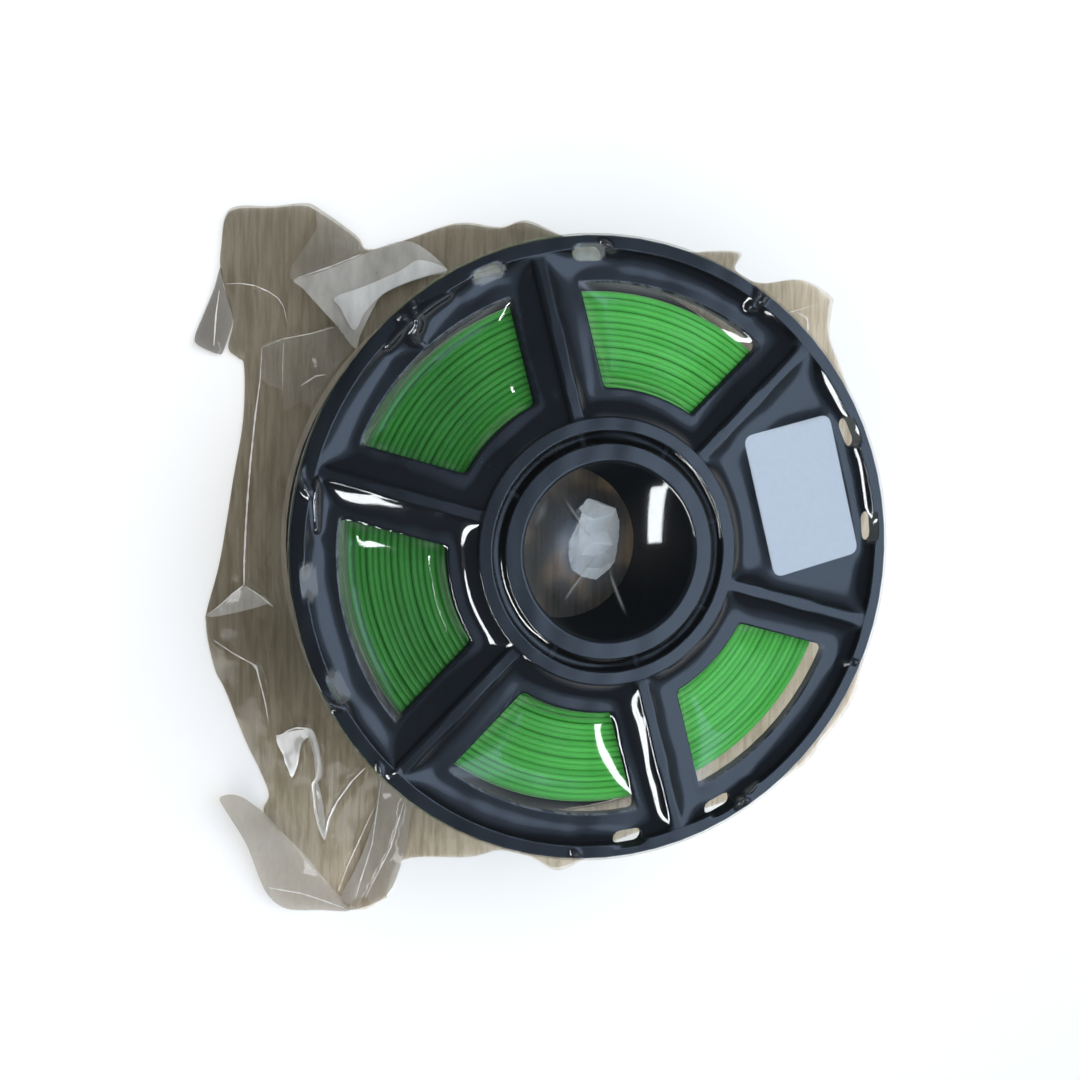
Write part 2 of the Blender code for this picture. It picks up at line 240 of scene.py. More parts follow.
def paper(name, pale, dark, grain, depth, roughness):
    """Paper or nonwoven: pale fibres, a matt face with fine relief."""
    tree = new_material(name)
    fibres = tree.noise(grain, 6, 0.65)
    shader = tree.add("BsdfPrincipled", {
        "Base Color": tree.ramp(fibres, [(0.35, dark), (0.65, pale)]),
        "Roughness": tree.spread(tree.noise(500), roughness - 0.05, roughness + 0.08),
        "Normal": tree.bump(fibres, depth, 0.5),
    })
    return tree.show(shader)


def film_tint(tree, tints, centre):
    """Tint of the loose film, as (distance, colour) stops from its darkest place, with streaks along the bag;
    its darkening is partly painted shade.

    Under the spool the tint is patchy, with a centre's own stops: dark patches of painted shade among tan
    ones.
    """
    # Partly painted shade: the tint darkens towards the bag's left edge
    away = tree.distance(TINT_START, TINT_REACH)
    tint = tree.ramp(away, [(place / TINT_REACH, colour) for place, colour in tints])
    streaks = tree.noise(620, 3, 0.6, stretch=13)
    tint = tree.multiply(tint, tree.ramp(streaks, [(0.38, (0.88, 0.865, 0.84)), (0.56, WHITE)]))
    if centre:
        # Painted shade: under the spool the film is darkened in patches
        outside = tree.ramp(tree.distance((0, 0, 0), WINDOW_OUTER), [(0.7, (0, 0, 0)), (0.9, WHITE)])
        patches = tree.ramp(tree.noise(50, 1, 0.4), centre)
        rest = tree.add("Mix", {"Factor": outside, "A": patches, "B": (*WHITE, 1)}, data_type="RGBA")
        tint = tree.multiply(tint, rest.outputs["Result"])
    return tint


def film(name, tints, haze, haze_colour, mirror_share, embossed=0.0, veiled=False, centre=None):
    """Thin clear film with some haze, and with a mirror share that grows at grazing angles.

    A veiled film has more haze, and a weaker mirror, where its mesh says so.
    """
    tree = new_material(name)
    tint = (*tints[0], 1) if len(tints) == 1 else film_tint(tree, tints, centre)
    normal = {}
    if embossed:
        normal["Normal"] = tree.bump(tree.noise(700, 1, stretch=2), embossed)
    clear = tree.add("BsdfTransparent", {"Color": tint})
    mirror = tree.add("BsdfGlossy", {"Color": (*WHITE, 1), "Roughness": FILM_ROUGHNESS, **normal})
    milky = tree.add("BsdfDiffuse", {"Color": (*haze_colour, 1), **normal})
    facing = tree.add("LayerWeight", {"Blend": 0.5, **normal}).outputs["Facing"]
    cloud = tree.spread(tree.noise(110, 4, 0.6, stretch=3), haze * 0.7, haze * 1.3)
    least = mirror_share
    if veiled:
        veil = tree.add("Attribute", {}, attribute_name="veil").outputs["Fac"]
        cling = tree.add("Attribute", {}, attribute_name="cling").outputs["Fac"]
        cloud = tree.math("ADD", cloud, veil)
        least = tree.spread(cling, mirror_share, 0.25 * mirror_share, 0, 1)
    share = tree.spread(tree.math("POWER", facing, 4.0), least, MOST_MIRROR, 0, 1)
    hazed = tree.add("MixShader", {"Fac": cloud, 1: clear.outputs["BSDF"], 2: milky.outputs["BSDF"]})
    mixed = tree.add("MixShader", {"Fac": share, 1: hazed.outputs["Shader"], 2: mirror.outputs["BSDF"]})
    return tree.show(mixed)


# The bag's length, drawing lines and all, lies at this turn; its film's tint is darkest by its left edge,
# partly as painted shade
BAG_TURN = math.radians(-15.4)
TINT_START = (-60.0, 75.0, 0.0)
TINT_REACH = 200.0
EDGE_TINTS_AND_SHADE = (
    (28, (0.675, 0.655, 0.61)), (66, (0.68, 0.66, 0.61)), (91, (0.63, 0.61, 0.56)),
    (124, (0.745, 0.72, 0.665)), (142, (0.79, 0.765, 0.71)), (151, (0.80, 0.775, 0.725)),
    (171, (0.91, 0.88, 0.825)),
)
# Back film under the spool: dark bluish patches of painted shade among tan ones
CENTRE_SHADE_TINTS = ((0.44, (0.36, 0.38, 0.42)), (0.53, (0.44, 0.44, 0.45)), (0.62, (0.72, 0.64, 0.55)))

# Painted shade: the strand's colour is darkened near this place, and fades out over this reach
STRAND_SHADE_CENTRE = (-95.0, 40.0, 46.0)
STRAND_SHADE_REACH = 130.0

FILM_ROUGHNESS = 0.07
MOST_MIRROR = 0.8
WHITE = (1, 1, 1)
BLACK = black_plastic()
GREEN = green_strand()
LABEL_PAPER = paper("label_paper", (0.425, 0.485, 0.56), (0.39, 0.45, 0.525), 900, 0.02, 0.5)
SACHET_PAPER = paper("sachet_paper", (0.80, 0.88, 0.93), (0.72, 0.80, 0.86), 1400, 0.04, 0.6)
SKIN_FILM = film("clear_film", [(0.97, 0.97, 0.97)], 0.004, (0.60, 0.64, 0.64), 0.07, veiled=True)
# The loose film's tint is partly painted shade, darker towards the left
EDGE_FILM = film("tinted_film", EDGE_TINTS_AND_SHADE, 0.035, (0.56, 0.52, 0.46), 0.005)
SIDE_FILM = film("side_film", [(0.95, 0.945, 0.93)], 0.004, (0.60, 0.64, 0.64), 0.012)
BACK_FILM = film("back_film", EDGE_TINTS_AND_SHADE, 0.03, (0.56, 0.52, 0.46), 0.012, centre=CENTRE_SHADE_TINTS)
# Painted highlight: the creases' narrow strips are a milky white film
CREASE_GLINT_FILM = film("crease_glint_film", [(0.93, 0.92, 0.90)], 0.6, (0.90, 0.89, 0.87), 0.05)
# The glare and pinched kinds are painted highlights: nearly clear film with a strong milky white haze
FOLD_FILMS = {
    kind: film(f"{kind}_fold", [tint], haze, colour, mirror_share, embossed)
    for kind, tint, haze, colour, mirror_share, embossed in (
        ("thin", (0.88, 0.87, 0.85), 0.12, (0.58, 0.57, 0.54), 0.014, 0.006),
        ("double", (0.80, 0.79, 0.78), 0.42, (0.64, 0.64, 0.62), 0.014, 0.02),
        ("bright", (0.80, 0.80, 0.80), 0.62, (0.66, 0.67, 0.68), 0.014, 0.01),
        ("tan", (0.76, 0.72, 0.66), 0.60, (0.42, 0.385, 0.335), 0.014, 0.01),
        ("dark", (0.46, 0.44, 0.41), 0.30, (0.24, 0.225, 0.21), 0.014, 0.01),
        ("glare", (0.96, 0.95, 0.94), 0.22, (0.88, 0.87, 0.85), 0.014, 0.01),
        ("pinched", (0.97, 0.96, 0.95), 0.34, (0.90, 0.90, 0.90), 0.02, 0.01),
    )
}


# Winding

POINTS_PER_LOOP = 120
END_LOOPS = 20
OUTER_LOOPS = 21

# How far the turns dip between each other and sway
SHORT_DIP = 0.24
LONG_DIP = 0.2
END_SWAY = 0.24
OUTER_WAVE = 0.1
OUTER_SWAY = 0.14

# Body of the inner layers, as seen between the turns
CORE_SEGMENTS = 120
CORE_GAP = 0.3
CORE_INSET = 1.0
SWELL = 0.45
SWELL_STEPS = 6


def polar(radius, angle, height):
    """Points at the given distance from the axis, angle and height."""
    return np.column_stack(np.broadcast_arrays(radius * np.cos(angle), radius * np.sin(angle), height))


def strip_faces(rows, count, closed=False):
    """Quads between rows of points that each go once round; if closed, the last row joins the first."""
    faces = []
    for i in range(rows if closed else rows - 1):
        here = i * count
        ahead = (i + 1) % rows * count
        for j in range(count):
            k = (j + 1) % count
            faces.append((here + j, here + k, ahead + k, ahead + j))
    return faces


def joined(parts):
    """Several pairs of points and faces as one pair."""
    faces = []
    shift = 0
    for points, own_faces in parts:
        faces += [tuple(int(v) + shift for v in face) for face in own_faces]
        shift += len(points)
    return np.concatenate([points for points, _ in parts]), faces


def tube(path, radius, sides):
    """Points and faces of a round strand along a path, closed at both ends."""
    along = np.gradient(path, axis=0)
    along /= np.linalg.norm(along, axis=1, keepdims=True)
    side = np.cross(along, (0, 0, 1))
    side /= np.linalg.norm(side, axis=1, keepdims=True)
    up = np.cross(side, along)
    turn = 2 * np.pi * np.arange(sides) / sides
    ring = side[:, None] * np.cos(turn)[None, :, None] + up[:, None] * np.sin(turn)[None, :, None]
    points = (path[:, None] + radius * ring).reshape(-1, 3)
    faces = strip_faces(len(path), sides)
    faces.append(tuple(range(sides)))
    faces.append(tuple(reversed(range(len(points) - sides, len(points)))))
    return points, faces


def end_spiral(rng, height, outward):
    """The ends of the layers on one side of the winding, as a spiral whose turns dip between each other."""
    turn = np.arange(END_LOOPS * POINTS_PER_LOOP + 1) / POINTS_PER_LOOP
    period = END_LOOPS + 1
    dip = np.clip(smooth_noise(rng, turn, period, knots=61) + 0.10, 0, 1) * SHORT_DIP
    dip += np.clip(smooth_noise(rng, turn, period, knots=23), 0, 1) * LONG_DIP
    radius = WINDING_OUTER - STRAND_RADIUS - STRAND_PITCH * turn
    radius += END_SWAY * smooth_noise(rng, turn, period, knots=83)
    return polar(radius, 2 * np.pi * turn, height - outward * (STRAND_RADIUS + dip))


def outer_helix(rng):
    """The outermost layer, wound from the back flange to the front one."""
    turn = np.arange(OUTER_LOOPS * POINTS_PER_LOOP + 1) / POINTS_PER_LOOP
    period = OUTER_LOOPS + 1
    low = WINDING_BACK + STRAND_RADIUS
    high = WINDING_FRONT - STRAND_RADIUS - 1.9
    level = low + (high - low) * turn / OUTER_LOOPS + OUTER_WAVE * smooth_noise(rng, turn, period, knots=57)
    radius = WINDING_OUTER - STRAND_RADIUS + OUTER_SWAY * smooth_noise(rng, turn, period, knots=91)
    return polar(radius, 2 * np.pi * turn, level)


def inner_layers():
    """The layers behind the visible turns, as a turned body with one swell for each turn."""
    inner = BARREL_RADIUS + CORE_GAP
    outer = WINDING_OUTER - 2.1 * STRAND_RADIUS
    low = WINDING_BACK + CORE_INSET
    high = WINDING_FRONT - CORE_INSET
    corners = np.array([(inner, high), (outer, high), (outer, low), (inner, low)])
    profile = []
    for start, end in zip(corners[:-1], corners[1:]):
        length = np.abs(end - start).sum()
        count = int(length / STRAND_PITCH) * SWELL_STEPS
        across = np.array([start[1] - end[1], end[0] - start[0]]) / length
        for i in range(count):
            t = i / count
            swell = SWELL * abs(math.sin(math.pi * i / SWELL_STEPS))
            profile.append(start * (1 - t) + end * t + across * (swell - SWELL))
    profile.append(corners[-1])
    radius, height = np.array(profile).T
    angles = 2 * np.pi * np.arange(CORE_SEGMENTS) / CORE_SEGMENTS
    points = np.concatenate([polar(radius, angle, height) for angle in angles])
    return points, strip_faces(CORE_SEGMENTS, len(profile), closed=True)


def make_winding():
    rng = np.random.default_rng(7)
    spiral = tube(end_spiral(rng, WINDING_FRONT, 1), END_RADIUS, 10)
    front = add_mesh("filament_front_layer", *spiral, [GREEN])
    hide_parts("filament_front_turns")
    outer = add_mesh("filament_outer_layer", *tube(outer_helix(rng), STRAND_RADIUS, 8), [GREEN])
    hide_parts("filament_outer_turns")
    back = tube(end_spiral(rng, WINDING_BACK, -1), STRAND_RADIUS, 8)
    inner = add_mesh("filament_inner_layers", *joined([back, inner_layers()]), [GREEN])
    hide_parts("filament_core")
    for piece in (front, outer, inner):
        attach(piece, "root")


# Drying sachet: the edge and the folds of its upper side, as (x, y, height)

SACHET_EDGE = (
    (11, 12.5, 7), (18.8, 6.8, 9), (19.6, 1.9, 7), (18.7, -3.8, 5), (15.7, -11.2, 4), (12.9, -13.4, 3.5),
    (7.9, -15.6, 3), (3.4, -13.1, 3), (0.5, -10, 3), (0.4, -5.8, 3.5), (1.6, 0, 5), (6, 5.8, 7),
    (7.4, 8.3, 7.4), (7, 9.8, 7),
)
SACHET_FOLDS = (
    (11.9, 6.8, 8.8), (11.7, 4.8, 6.6), (7.6, 0.6, 8.2), (9.3, -2.8, 6.8), (8.1, -6.4, 8.4),
    (11.6, -6.2, 8.8), (13.3, 0.8, 9), (3.9, -5.3, 7.4), (5, -10.4, 5.6), (10.1, -11.9, 5.6),
    (15.6, -5.1, 7), (5, 1.8, 7.8), (17.7, 5.6, 8.6), (14.4, 9.1, 8.6),
)
SACHET_BASE = 0.75
SACHET_DEPTH = 0.7
SACHET_FOOT = 0.92
CRUMPLE = 0.13


def make_sachet():
    """Crumpled paper pouch: facets between folds above, a flat underside, and fine creases all over."""
    coarse = np.array(SACHET_EDGE + SACHET_FOLDS)
    folds = coarse[len(SACHET_EDGE):, 2]
    folds += SACHET_DEPTH * (folds - folds.mean())
    count = len(SACHET_EDGE)
    edges = [(i, (i + 1) % count) for i in range(count)]
    _, _, faces, _, _, _ = delaunay_2d_cdt([Vector(p[:2]) for p in coarse], edges, [], 1, 1e-5)
    low = coarse[:count].copy()
    middle = low[:, :2].mean(axis=0)
    low[:, :2] = middle + SACHET_FOOT * (low[:, :2] - middle)
    low[:, 2] = SACHET_BASE + 0.1
    first = len(coarse)
    sides = [tuple(face) for face in faces] + [tuple(range(first, first + count))]
    for i, k in edges:
        sides.append((i, first + i, first + k, k))
    sachet = add_mesh("sachet_pouch", np.concatenate([coarse, low]), sides, [SACHET_PAPER])
    bm = bmesh.new()
    bm.from_mesh(sachet.data)
    bmesh.ops.triangulate(bm, faces=[face for face in bm.faces if len(face.verts) > 4])
    bmesh.ops.recalc_face_normals(bm, faces=bm.faces)
    bmesh.ops.subdivide_edges(bm, edges=bm.edges, cuts=5, use_grid_fill=True)
    bmesh.ops.smooth_vert(bm, verts=bm.verts, factor=0.25, use_axis_x=True, use_axis_y=True, use_axis_z=True)
    bm.normal_update()
    for vert in bm.verts:
        x, y, z = vert.co / MM
        fine = math.sin(2.1 * x + 0.8 * y) * math.sin(1.7 * y - 0.9 * x)
        fine += 0.6 * math.sin(4.3 * x - 3.1 * y + z)
        if z > SACHET_BASE + 0.5:
            vert.co += vert.normal * (CRUMPLE * MM * fine)
    bm.to_mesh(sachet.data)
    bm.free()
    sachet.data.set_sharp_from_angle(angle=math.radians(20))
    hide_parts("desiccant_sachet")
    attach(sachet, "root")


# Film over the front: a membrane pressed onto the flange

ROW_STEP = 0.25
COLUMNS = 720
SWEEPS = 520
OVERSHOOT = 1.93
SKIN_START = 26.4
FILM_LIFT = 0.12
UNEVEN_PULL = 0.18
PULL_LIMITS = (0.35, 1.8)
UNEVEN_LAY = 0.035
LAY_LENGTHS = (9.0, 13.0, 19.0, 29.0)
BORE_DIP = 8.0
BORE_ROWS = 26
BORE_PLEATS = (116, 213, 273)
PLEAT_WIDTH = 0.5
PLEAT_RISE = 0.2

# Slope at the edges of what the film lies on, how far these are rounded, and the heights given to a gap
STEEP = 2.0
RIB_ROUND = 0.4
WINDING_ROUND = 0.6
OPEN_BELOW = PLATE_TOP - 0.01
NOTHING = 30.0
FAR_OUTSIDE = -90.0

# Angles within which a slot or a bar is looked for
NEAR_SLOT = 0.2
NEAR_BAR = 0.5

# Rows of the grid that are kept: all of them by the hub ring and the rim, half beside these, else a quarter
HUB_ROWS = (30.0, 40.0)
RIM_ROWS = 84.0
OUTER_ROWS = 75.0

# Haze where the film is slack, over the slots, on wrinkles (there a painted highlight) and on pleats; how it
# clings in the hub's groove
VEIL = 0.16
VEIL_START = 74.0
SLOT_VEIL = 0.20
WRINKLE_GLINT_VEIL = 0.05
PLEAT_VEIL = 0.2
PLEAT_MIDDLE = 13.0
PLEAT_REACH = 5.0
FOLD_WIDTH = 0.4
GROOVE_CLING = 0.85

# Directions of the milkiest slots, of the groove's streak and of the windows with tightly bent outer edges
MILKY_WAY = math.radians(100)
STREAK_WAY = math.radians(198)
TIGHT_WAY = math.radians(120)

# Milky spots of the film over the bore, the last a faint painted reflection round the lamp's highlight there,
# each as its place, half length, half width, turn in degrees and haze
MILKY_SPOTS_AND_GLOW = (
    ((-10.6, 5.0), 3.4, 3.2, 0, 0.10),
    ((-16.8, 16.1), 2.7, 1.1, 52, 0.10),
    # Painted reflection: a faint wide glow round the lamp's highlight in the bore
    ((12.0, 0.0), 11.0, 11.0, 0, 0.013),
)

# Radius to which the film bends where it spans a gap: by distance from the axis, at the windows' edges and
# beside a wrinkle
BEND_PLACES = (35.0, 39.0, 46.0, 50.0, 73.0, 79.0)
BEND_RADII = (3.0, 8.0, 8.0, 17.0, 17.0, 9.0)
SILL_BEND = 4.0
SILL_REACH = 6.0
WRINKLE_BEND = 2.2
WRINKLE_REACH = 2.4

# Pinched wrinkles by the rim: crest points as (radius, degrees, height)
WRINKLES = (
    ((90, 114.6, 52.8), (88.2, 115.4, 53.5), (85.5, 116.4, 53.8), (83.8, 116.5, 53.6), (82.5, 117.9, 53),
     (83, 118.9, 52.6), (81.1, 119, 52), (78.3, 118.6, 50.8)),
    ((88.9, 118.8, 52.8), (87.5, 118, 53.4), (85.6, 117.8, 53.6), (84.7, 119, 52.8)),
    ((85.3, 116.6, 53.6), (85.3, 112, 53), (85.1, 108.7, 52.4)),
    ((85.4, 117.9, 53.4), (85.2, 124, 52.4)),
    ((90, 151.8, 52.7), (88.1, 153.1, 53.4), (86.2, 154.5, 52.8)),
    ((89.5, 150, 52.6), (89.7, 151.8, 53), (86.3, 154, 53)),
    ((85.1, 151.6, 53), (84.4, 155, 52.4), (82.9, 160.6, 51.2)),
    ((90, 189.7, 52.6), (89.2, 192.1, 53.5), (86.8, 193.7, 52.8)),
    ((88, 206.2, 53), (90, 207.8, 52.7)),
    ((88.5, 209.2, 53.2), (84.9, 209.7, 52.6)),
    ((90, 248.2, 52.8), (87.7, 248.3, 53.5), (88.4, 249.1, 53.3), (90, 249.4, 52.8)),
    ((88.4, 283.1, 53), (86.6, 283.9, 53.6), (87, 285.2, 53.3), (89.7, 285.9, 52.8)),
    ((85.8, 285.8, 52.8), (85.9, 287.3, 53), (85.7, 289.2, 52.4)),
    ((90, 45.3, 52.8), (88.1, 44.3, 53.6), (83.7, 44.3, 52.6)),
    ((90, 43.2, 52.8), (87.8, 42.9, 53.5), (84.4, 43.3, 52.6)),
    ((88.3, 77.6, 52.9), (87, 76.4, 53.5), (85.9, 75.5, 52.9)),
    ((90, 321, 52.7), (87.4, 321.6, 53.2), (84.4, 320.4, 52.2)),
)


def wrapped(angle, half=np.pi):
    """The same angle, within half a turn of zero."""
    return (angle + half) % (2 * half) - half


def nearest_turn(angle, middles):
    """Angle to the nearest of several directions."""
    return np.min(np.abs(wrapped(angle[..., None] - middles)), axis=-1)


def window_depth(radius, angle):
    """How far inside a window polar points lie; below zero outside."""
    turn = nearest_turn(angle, WINDOW_ANGLES)
    side = radius * np.sin(np.pi / 6 - turn) - WINDOW_SIDE
    inside = np.minimum(side, np.minimum(radius - WINDOW_INNER, WINDOW_OUTER - radius))
    return np.where(turn < np.pi / 6, inside, -1.0)


def slot_depth(radius, angle):
    """How far inside a slot polar points lie; below zero outside."""
    turn = nearest_turn(angle, SLOT_ANGLES)
    along = np.maximum(radius * np.sin(turn) - SLOT_REACH, 0)
    inside = SLOT_HALF_WIDTH - np.hypot(along, radius * np.cos(turn) - SLOT_RADIUS)
    return np.where(turn < NEAR_SLOT, inside, -1.0)


def relief(radius, angle):
    """Height of what the front film lies on, at polar points."""
    x = radius * np.cos(angle)
    y = radius * np.sin(angle)
    label = np.minimum(np.minimum(x - LABEL_X[0], LABEL_X[1] - x), LABEL_HALF - np.abs(y))
    height = np.where(label > -0.5, LABEL_TOP + STEEP * np.minimum(label, 0), NOTHING)
    height = np.maximum(height, PLATE_TOP)

    # Windows and slots open the plate; the winding lies below the windows
    winding = np.where(radius < WINDING_OUTER - WINDING_ROUND, WINDING_FRONT, NOTHING)
    for inside, floor in ((window_depth(radius, angle), winding), (slot_depth(radius, angle), NOTHING)):
        height = np.where(inside > 0, np.maximum(PLATE_TOP - STEEP * inside, floor), height)
    groove = (radius > COLLAR_RADIUS) & (radius < BARREL_INNER)
    height = np.where(groove, NOTHING, height)
    slots = (height < OPEN_BELOW) & (radius > WINDOW_OUTER)

    def bar(middle, half):
        """How far inside a bar along a ray the points lie."""
        turn = wrapped(angle - middle)
        return np.where(np.abs(turn) < NEAR_BAR, half - np.abs(radius * np.sin(turn)), FAR_OUTSIDE)

    # Ribs, rim, hub ring, collar and the thin webs in the groove stand above the plate
    raised = []
    for middle in RIB_ANGLES:
        across = np.where(radius > BARREL_INNER, bar(middle, RIB_HALF - RIB_ROUND), FAR_OUTSIDE)
        raised.append(RIB_TOP + STEEP * np.minimum(across, 0))
    hub_ring = np.minimum(radius - BARREL_INNER, BARREL_RADIUS - radius)
    for inside in (radius - RIM_INNER, hub_ring, COLLAR_RADIUS - radius):
        raised.append(FRONT_TOP + STEEP * np.minimum(inside, 0))
    for middle in HUB_WEB_ANGLES:
        web = HUB_WEB_TOP + STEEP * np.minimum(bar(middle, HUB_WEB_HALF), 0)
        raised.append(np.where(groove, web, NOTHING))
    for top in raised:
        height = np.maximum(height, np.where(slots, NOTHING, top))
    crest, _ = wrinkle_crests(x, y)
    return np.maximum(height, crest)


def wrinkle_crests(x, y):
    """Height of the wrinkles' sharp crests at the given points, and the distance to the nearest crest."""
    height = np.full(x.shape, NOTHING)
    nearest = np.full(x.shape, NOTHING)
    for wrinkle in WRINKLES:
        radius, degrees, crest = np.array(wrinkle).T
        knots = polar(radius, np.radians(degrees), crest)
        for start, end in zip(knots[:-1], knots[1:]):
            way = end[:2] - start[:2]
            t = np.clip(((x - start[0]) * way[0] + (y - start[1]) * way[1]) / (way @ way), 0, 1)
            apart = np.hypot(x - start[0] - t * way[0], y - start[1] - t * way[1])
            height = np.maximum(height, start[2] + t * (end[2] - start[2]) - STEEP * apart)
            nearest = np.minimum(nearest, apart)
    return height, nearest


def press_film():
    """Settles a membrane under even pressure onto the relief, row by row of a polar grid."""
    radii = np.arange(SKIN_START, FLANGE_RADIUS + 0.01, ROW_STEP)
    angles = 2 * np.pi * np.arange(COLUMNS) / COLUMNS
    radius, angle = np.meshgrid(radii, angles, indexing="ij")
    ground = relief(radius, angle)
    level = np.maximum(ground, PLATE_TOP)
    level[0] = FRONT_TOP
    level[-1] = np.maximum(ground[-1], FRONT_TOP - 0.1)
    row = radius[1:-1]
    turn = angle[1:-1]
    out = 1 / ROW_STEP**2 + 1 / (2 * row * ROW_STEP)
    back = 1 / ROW_STEP**2 - 1 / (2 * row * ROW_STEP)
    around = 1 / (row * 2 * np.pi / COLUMNS) ** 2
    total = out + back + 2 * around
    pull = np.zeros(row.shape)
    rng = np.random.default_rng(2)
    for waves in range(3, 15, 2):
        swing = np.cos(waves * turn + row / rng.uniform(6, 14) + rng.uniform(0, 2 * np.pi))
        pull += UNEVEN_PULL / 2 * swing
    bend = np.interp(row, BEND_PLACES, BEND_RADII)
    sill = (row > WINDOW_INNER) & (row < WINDOW_INNER + SILL_REACH)
    tight = np.cos(turn - TIGHT_WAY) > -0.01
    sill |= (row > WINDOW_OUTER - SILL_REACH) & (row < WINDOW_OUTER) & tight
    sill &= ground[1:-1] < OPEN_BELOW
    pull = np.clip(1 + pull, *PULL_LIMITS) / np.where(sill, SILL_BEND, bend)
    _, apart = wrinkle_crests(row * np.cos(turn), row * np.sin(turn))
    pull += np.exp(-((apart / WRINKLE_REACH) ** 2)) / WRINKLE_BEND
    colours = (np.add.outer(np.arange(len(radii)), np.arange(COLUMNS)) % 2)[1:-1]
    for _ in range(SWEEPS):
        for colour in (0, 1):
            inner = level[1:-1]
            ring = np.roll(inner, 1, axis=1) + np.roll(inner, -1, axis=1)
            calm = (out * level[2:] + back * level[:-2] + around * ring - pull) / total
            moved = np.maximum(inner + OVERSHOOT * (calm - inner), ground[1:-1])
            level[1:-1] = np.where(colours == colour, moved, inner)
    lay = np.zeros(level.shape)
    for length in LAY_LENGTHS:
        way = rng.uniform(0, 2 * np.pi)
        across = radius * np.cos(angle - way) + 4 * np.sin(radius * np.sin(angle - way) / 1.7 / length)
        lay += np.sin(2 * np.pi * across / length + rng.uniform(0, 2 * np.pi)) * length / LAY_LENGTHS[-1]
    return radii, angles, level + FILM_LIFT + UNEVEN_LAY * (1 + lay)


# Side of the film, from the rim's edge down to the loose margin, as (radius, height)
SIDE_ROWS = (
    (90.25, 52.3), (90.45, 51.9), (90.5, 51.2), (90.5, 48.4), (90.2, 46.6), (88.6, 43.0), (87.0, 37.0),
    (86.4, 30.0), (86.4, 23.0), (87.0, 16.0), (88.4, 10.0), (90.0, 6.4),
)
MARGIN_INNER = 91.6
MARGIN_FOOT = 2.0
LOOSE_RISE = 6.0
LOOSE_HALF = math.radians(62)
MARGIN_SPACING = 2.4
FOLD_SPACING = 2.0
MARGIN_SWEEPS = 400
MARGIN_SAG = 0.003
MARGIN_LOW = 0.8

# Edge of the loose margin, as (x, y, height)
MARGIN_EDGE = (
    (119, 0, 1), (116.6, 27.6, 1.6), (114, 44, 1.6), (116.2, 53.7, 3), (116.9, 58.3, 3), (107.4, 66.3, 2),
    (92, 68.4, 1.4), (83.8, 74.7, 1.4), (86.2, 80.1, 2.6), (68.7, 83.6, 2), (58, 83.6, 1.2), (38, 91, 1.2),
    (24.7, 98.3, 1.6), (14.1, 104.7, 3), (5.3, 104.4, 2.2), (-5.7, 107.8, 3), (-14, 108.1, 2.4),
    (-26, 106.6, 1.6), (-38.2, 105.9, 2), (-41, 110.4, 3.6), (-50.4, 120.4, 5), (-54.4, 122.9, 4),
    (-63.6, 124, 2.6), (-73.9, 125.7, 3.6), (-78.1, 123.4, 3.4), (-81.1, 116.4, 2.6), (-83.4, 109.6, 3),
    (-83.9, 101.2, 4), (-84, 93.1, 4), (-87.6, 85.6, 2.4), (-85.6, 82.1, 1.6), (-84.6, 79, 1.2),
    (-89.2, 63.5, 1.2), (-97, 46.4, 1.2), (-107.3, 23.6, 1.4), (-115.2, 9.7, 2), (-116.4, 6.2, 2),
    (-117.4, 0.6, 2), (-117.9, -9, 1.4), (-116.7, -16, 1.2), (-115.2, -33.1, 1.2), (-113.3, -45.5, 1.4),
    (-113, -52.4, 2), (-115.8, -58.2, 4), (-107.9, -74.3, 4.6), (-98.4, -96.2, 3), (-87.5, -97.5, 1.4),
    (-85.9, -96.1, 1.2), (-78.7, -87.2, 1), (-57, -94, 1.2), (-46.7, -95.2, 1.4), (-37.3, -100.8, 2.2),
    (-30, -107.8, 3.4), (-20.9, -108.2, 2), (-6, -106, 1.2), (22, -106, 1.2), (48, -106, 1.8),
    (66.8, -102.8, 2.6), (76.7, -96.4, 3), (86.7, -89.9, 2.8), (94.7, -82.2, 2.4), (105, -62, 1.4),
    (114, -40, 1), (118, -20, 1),
)
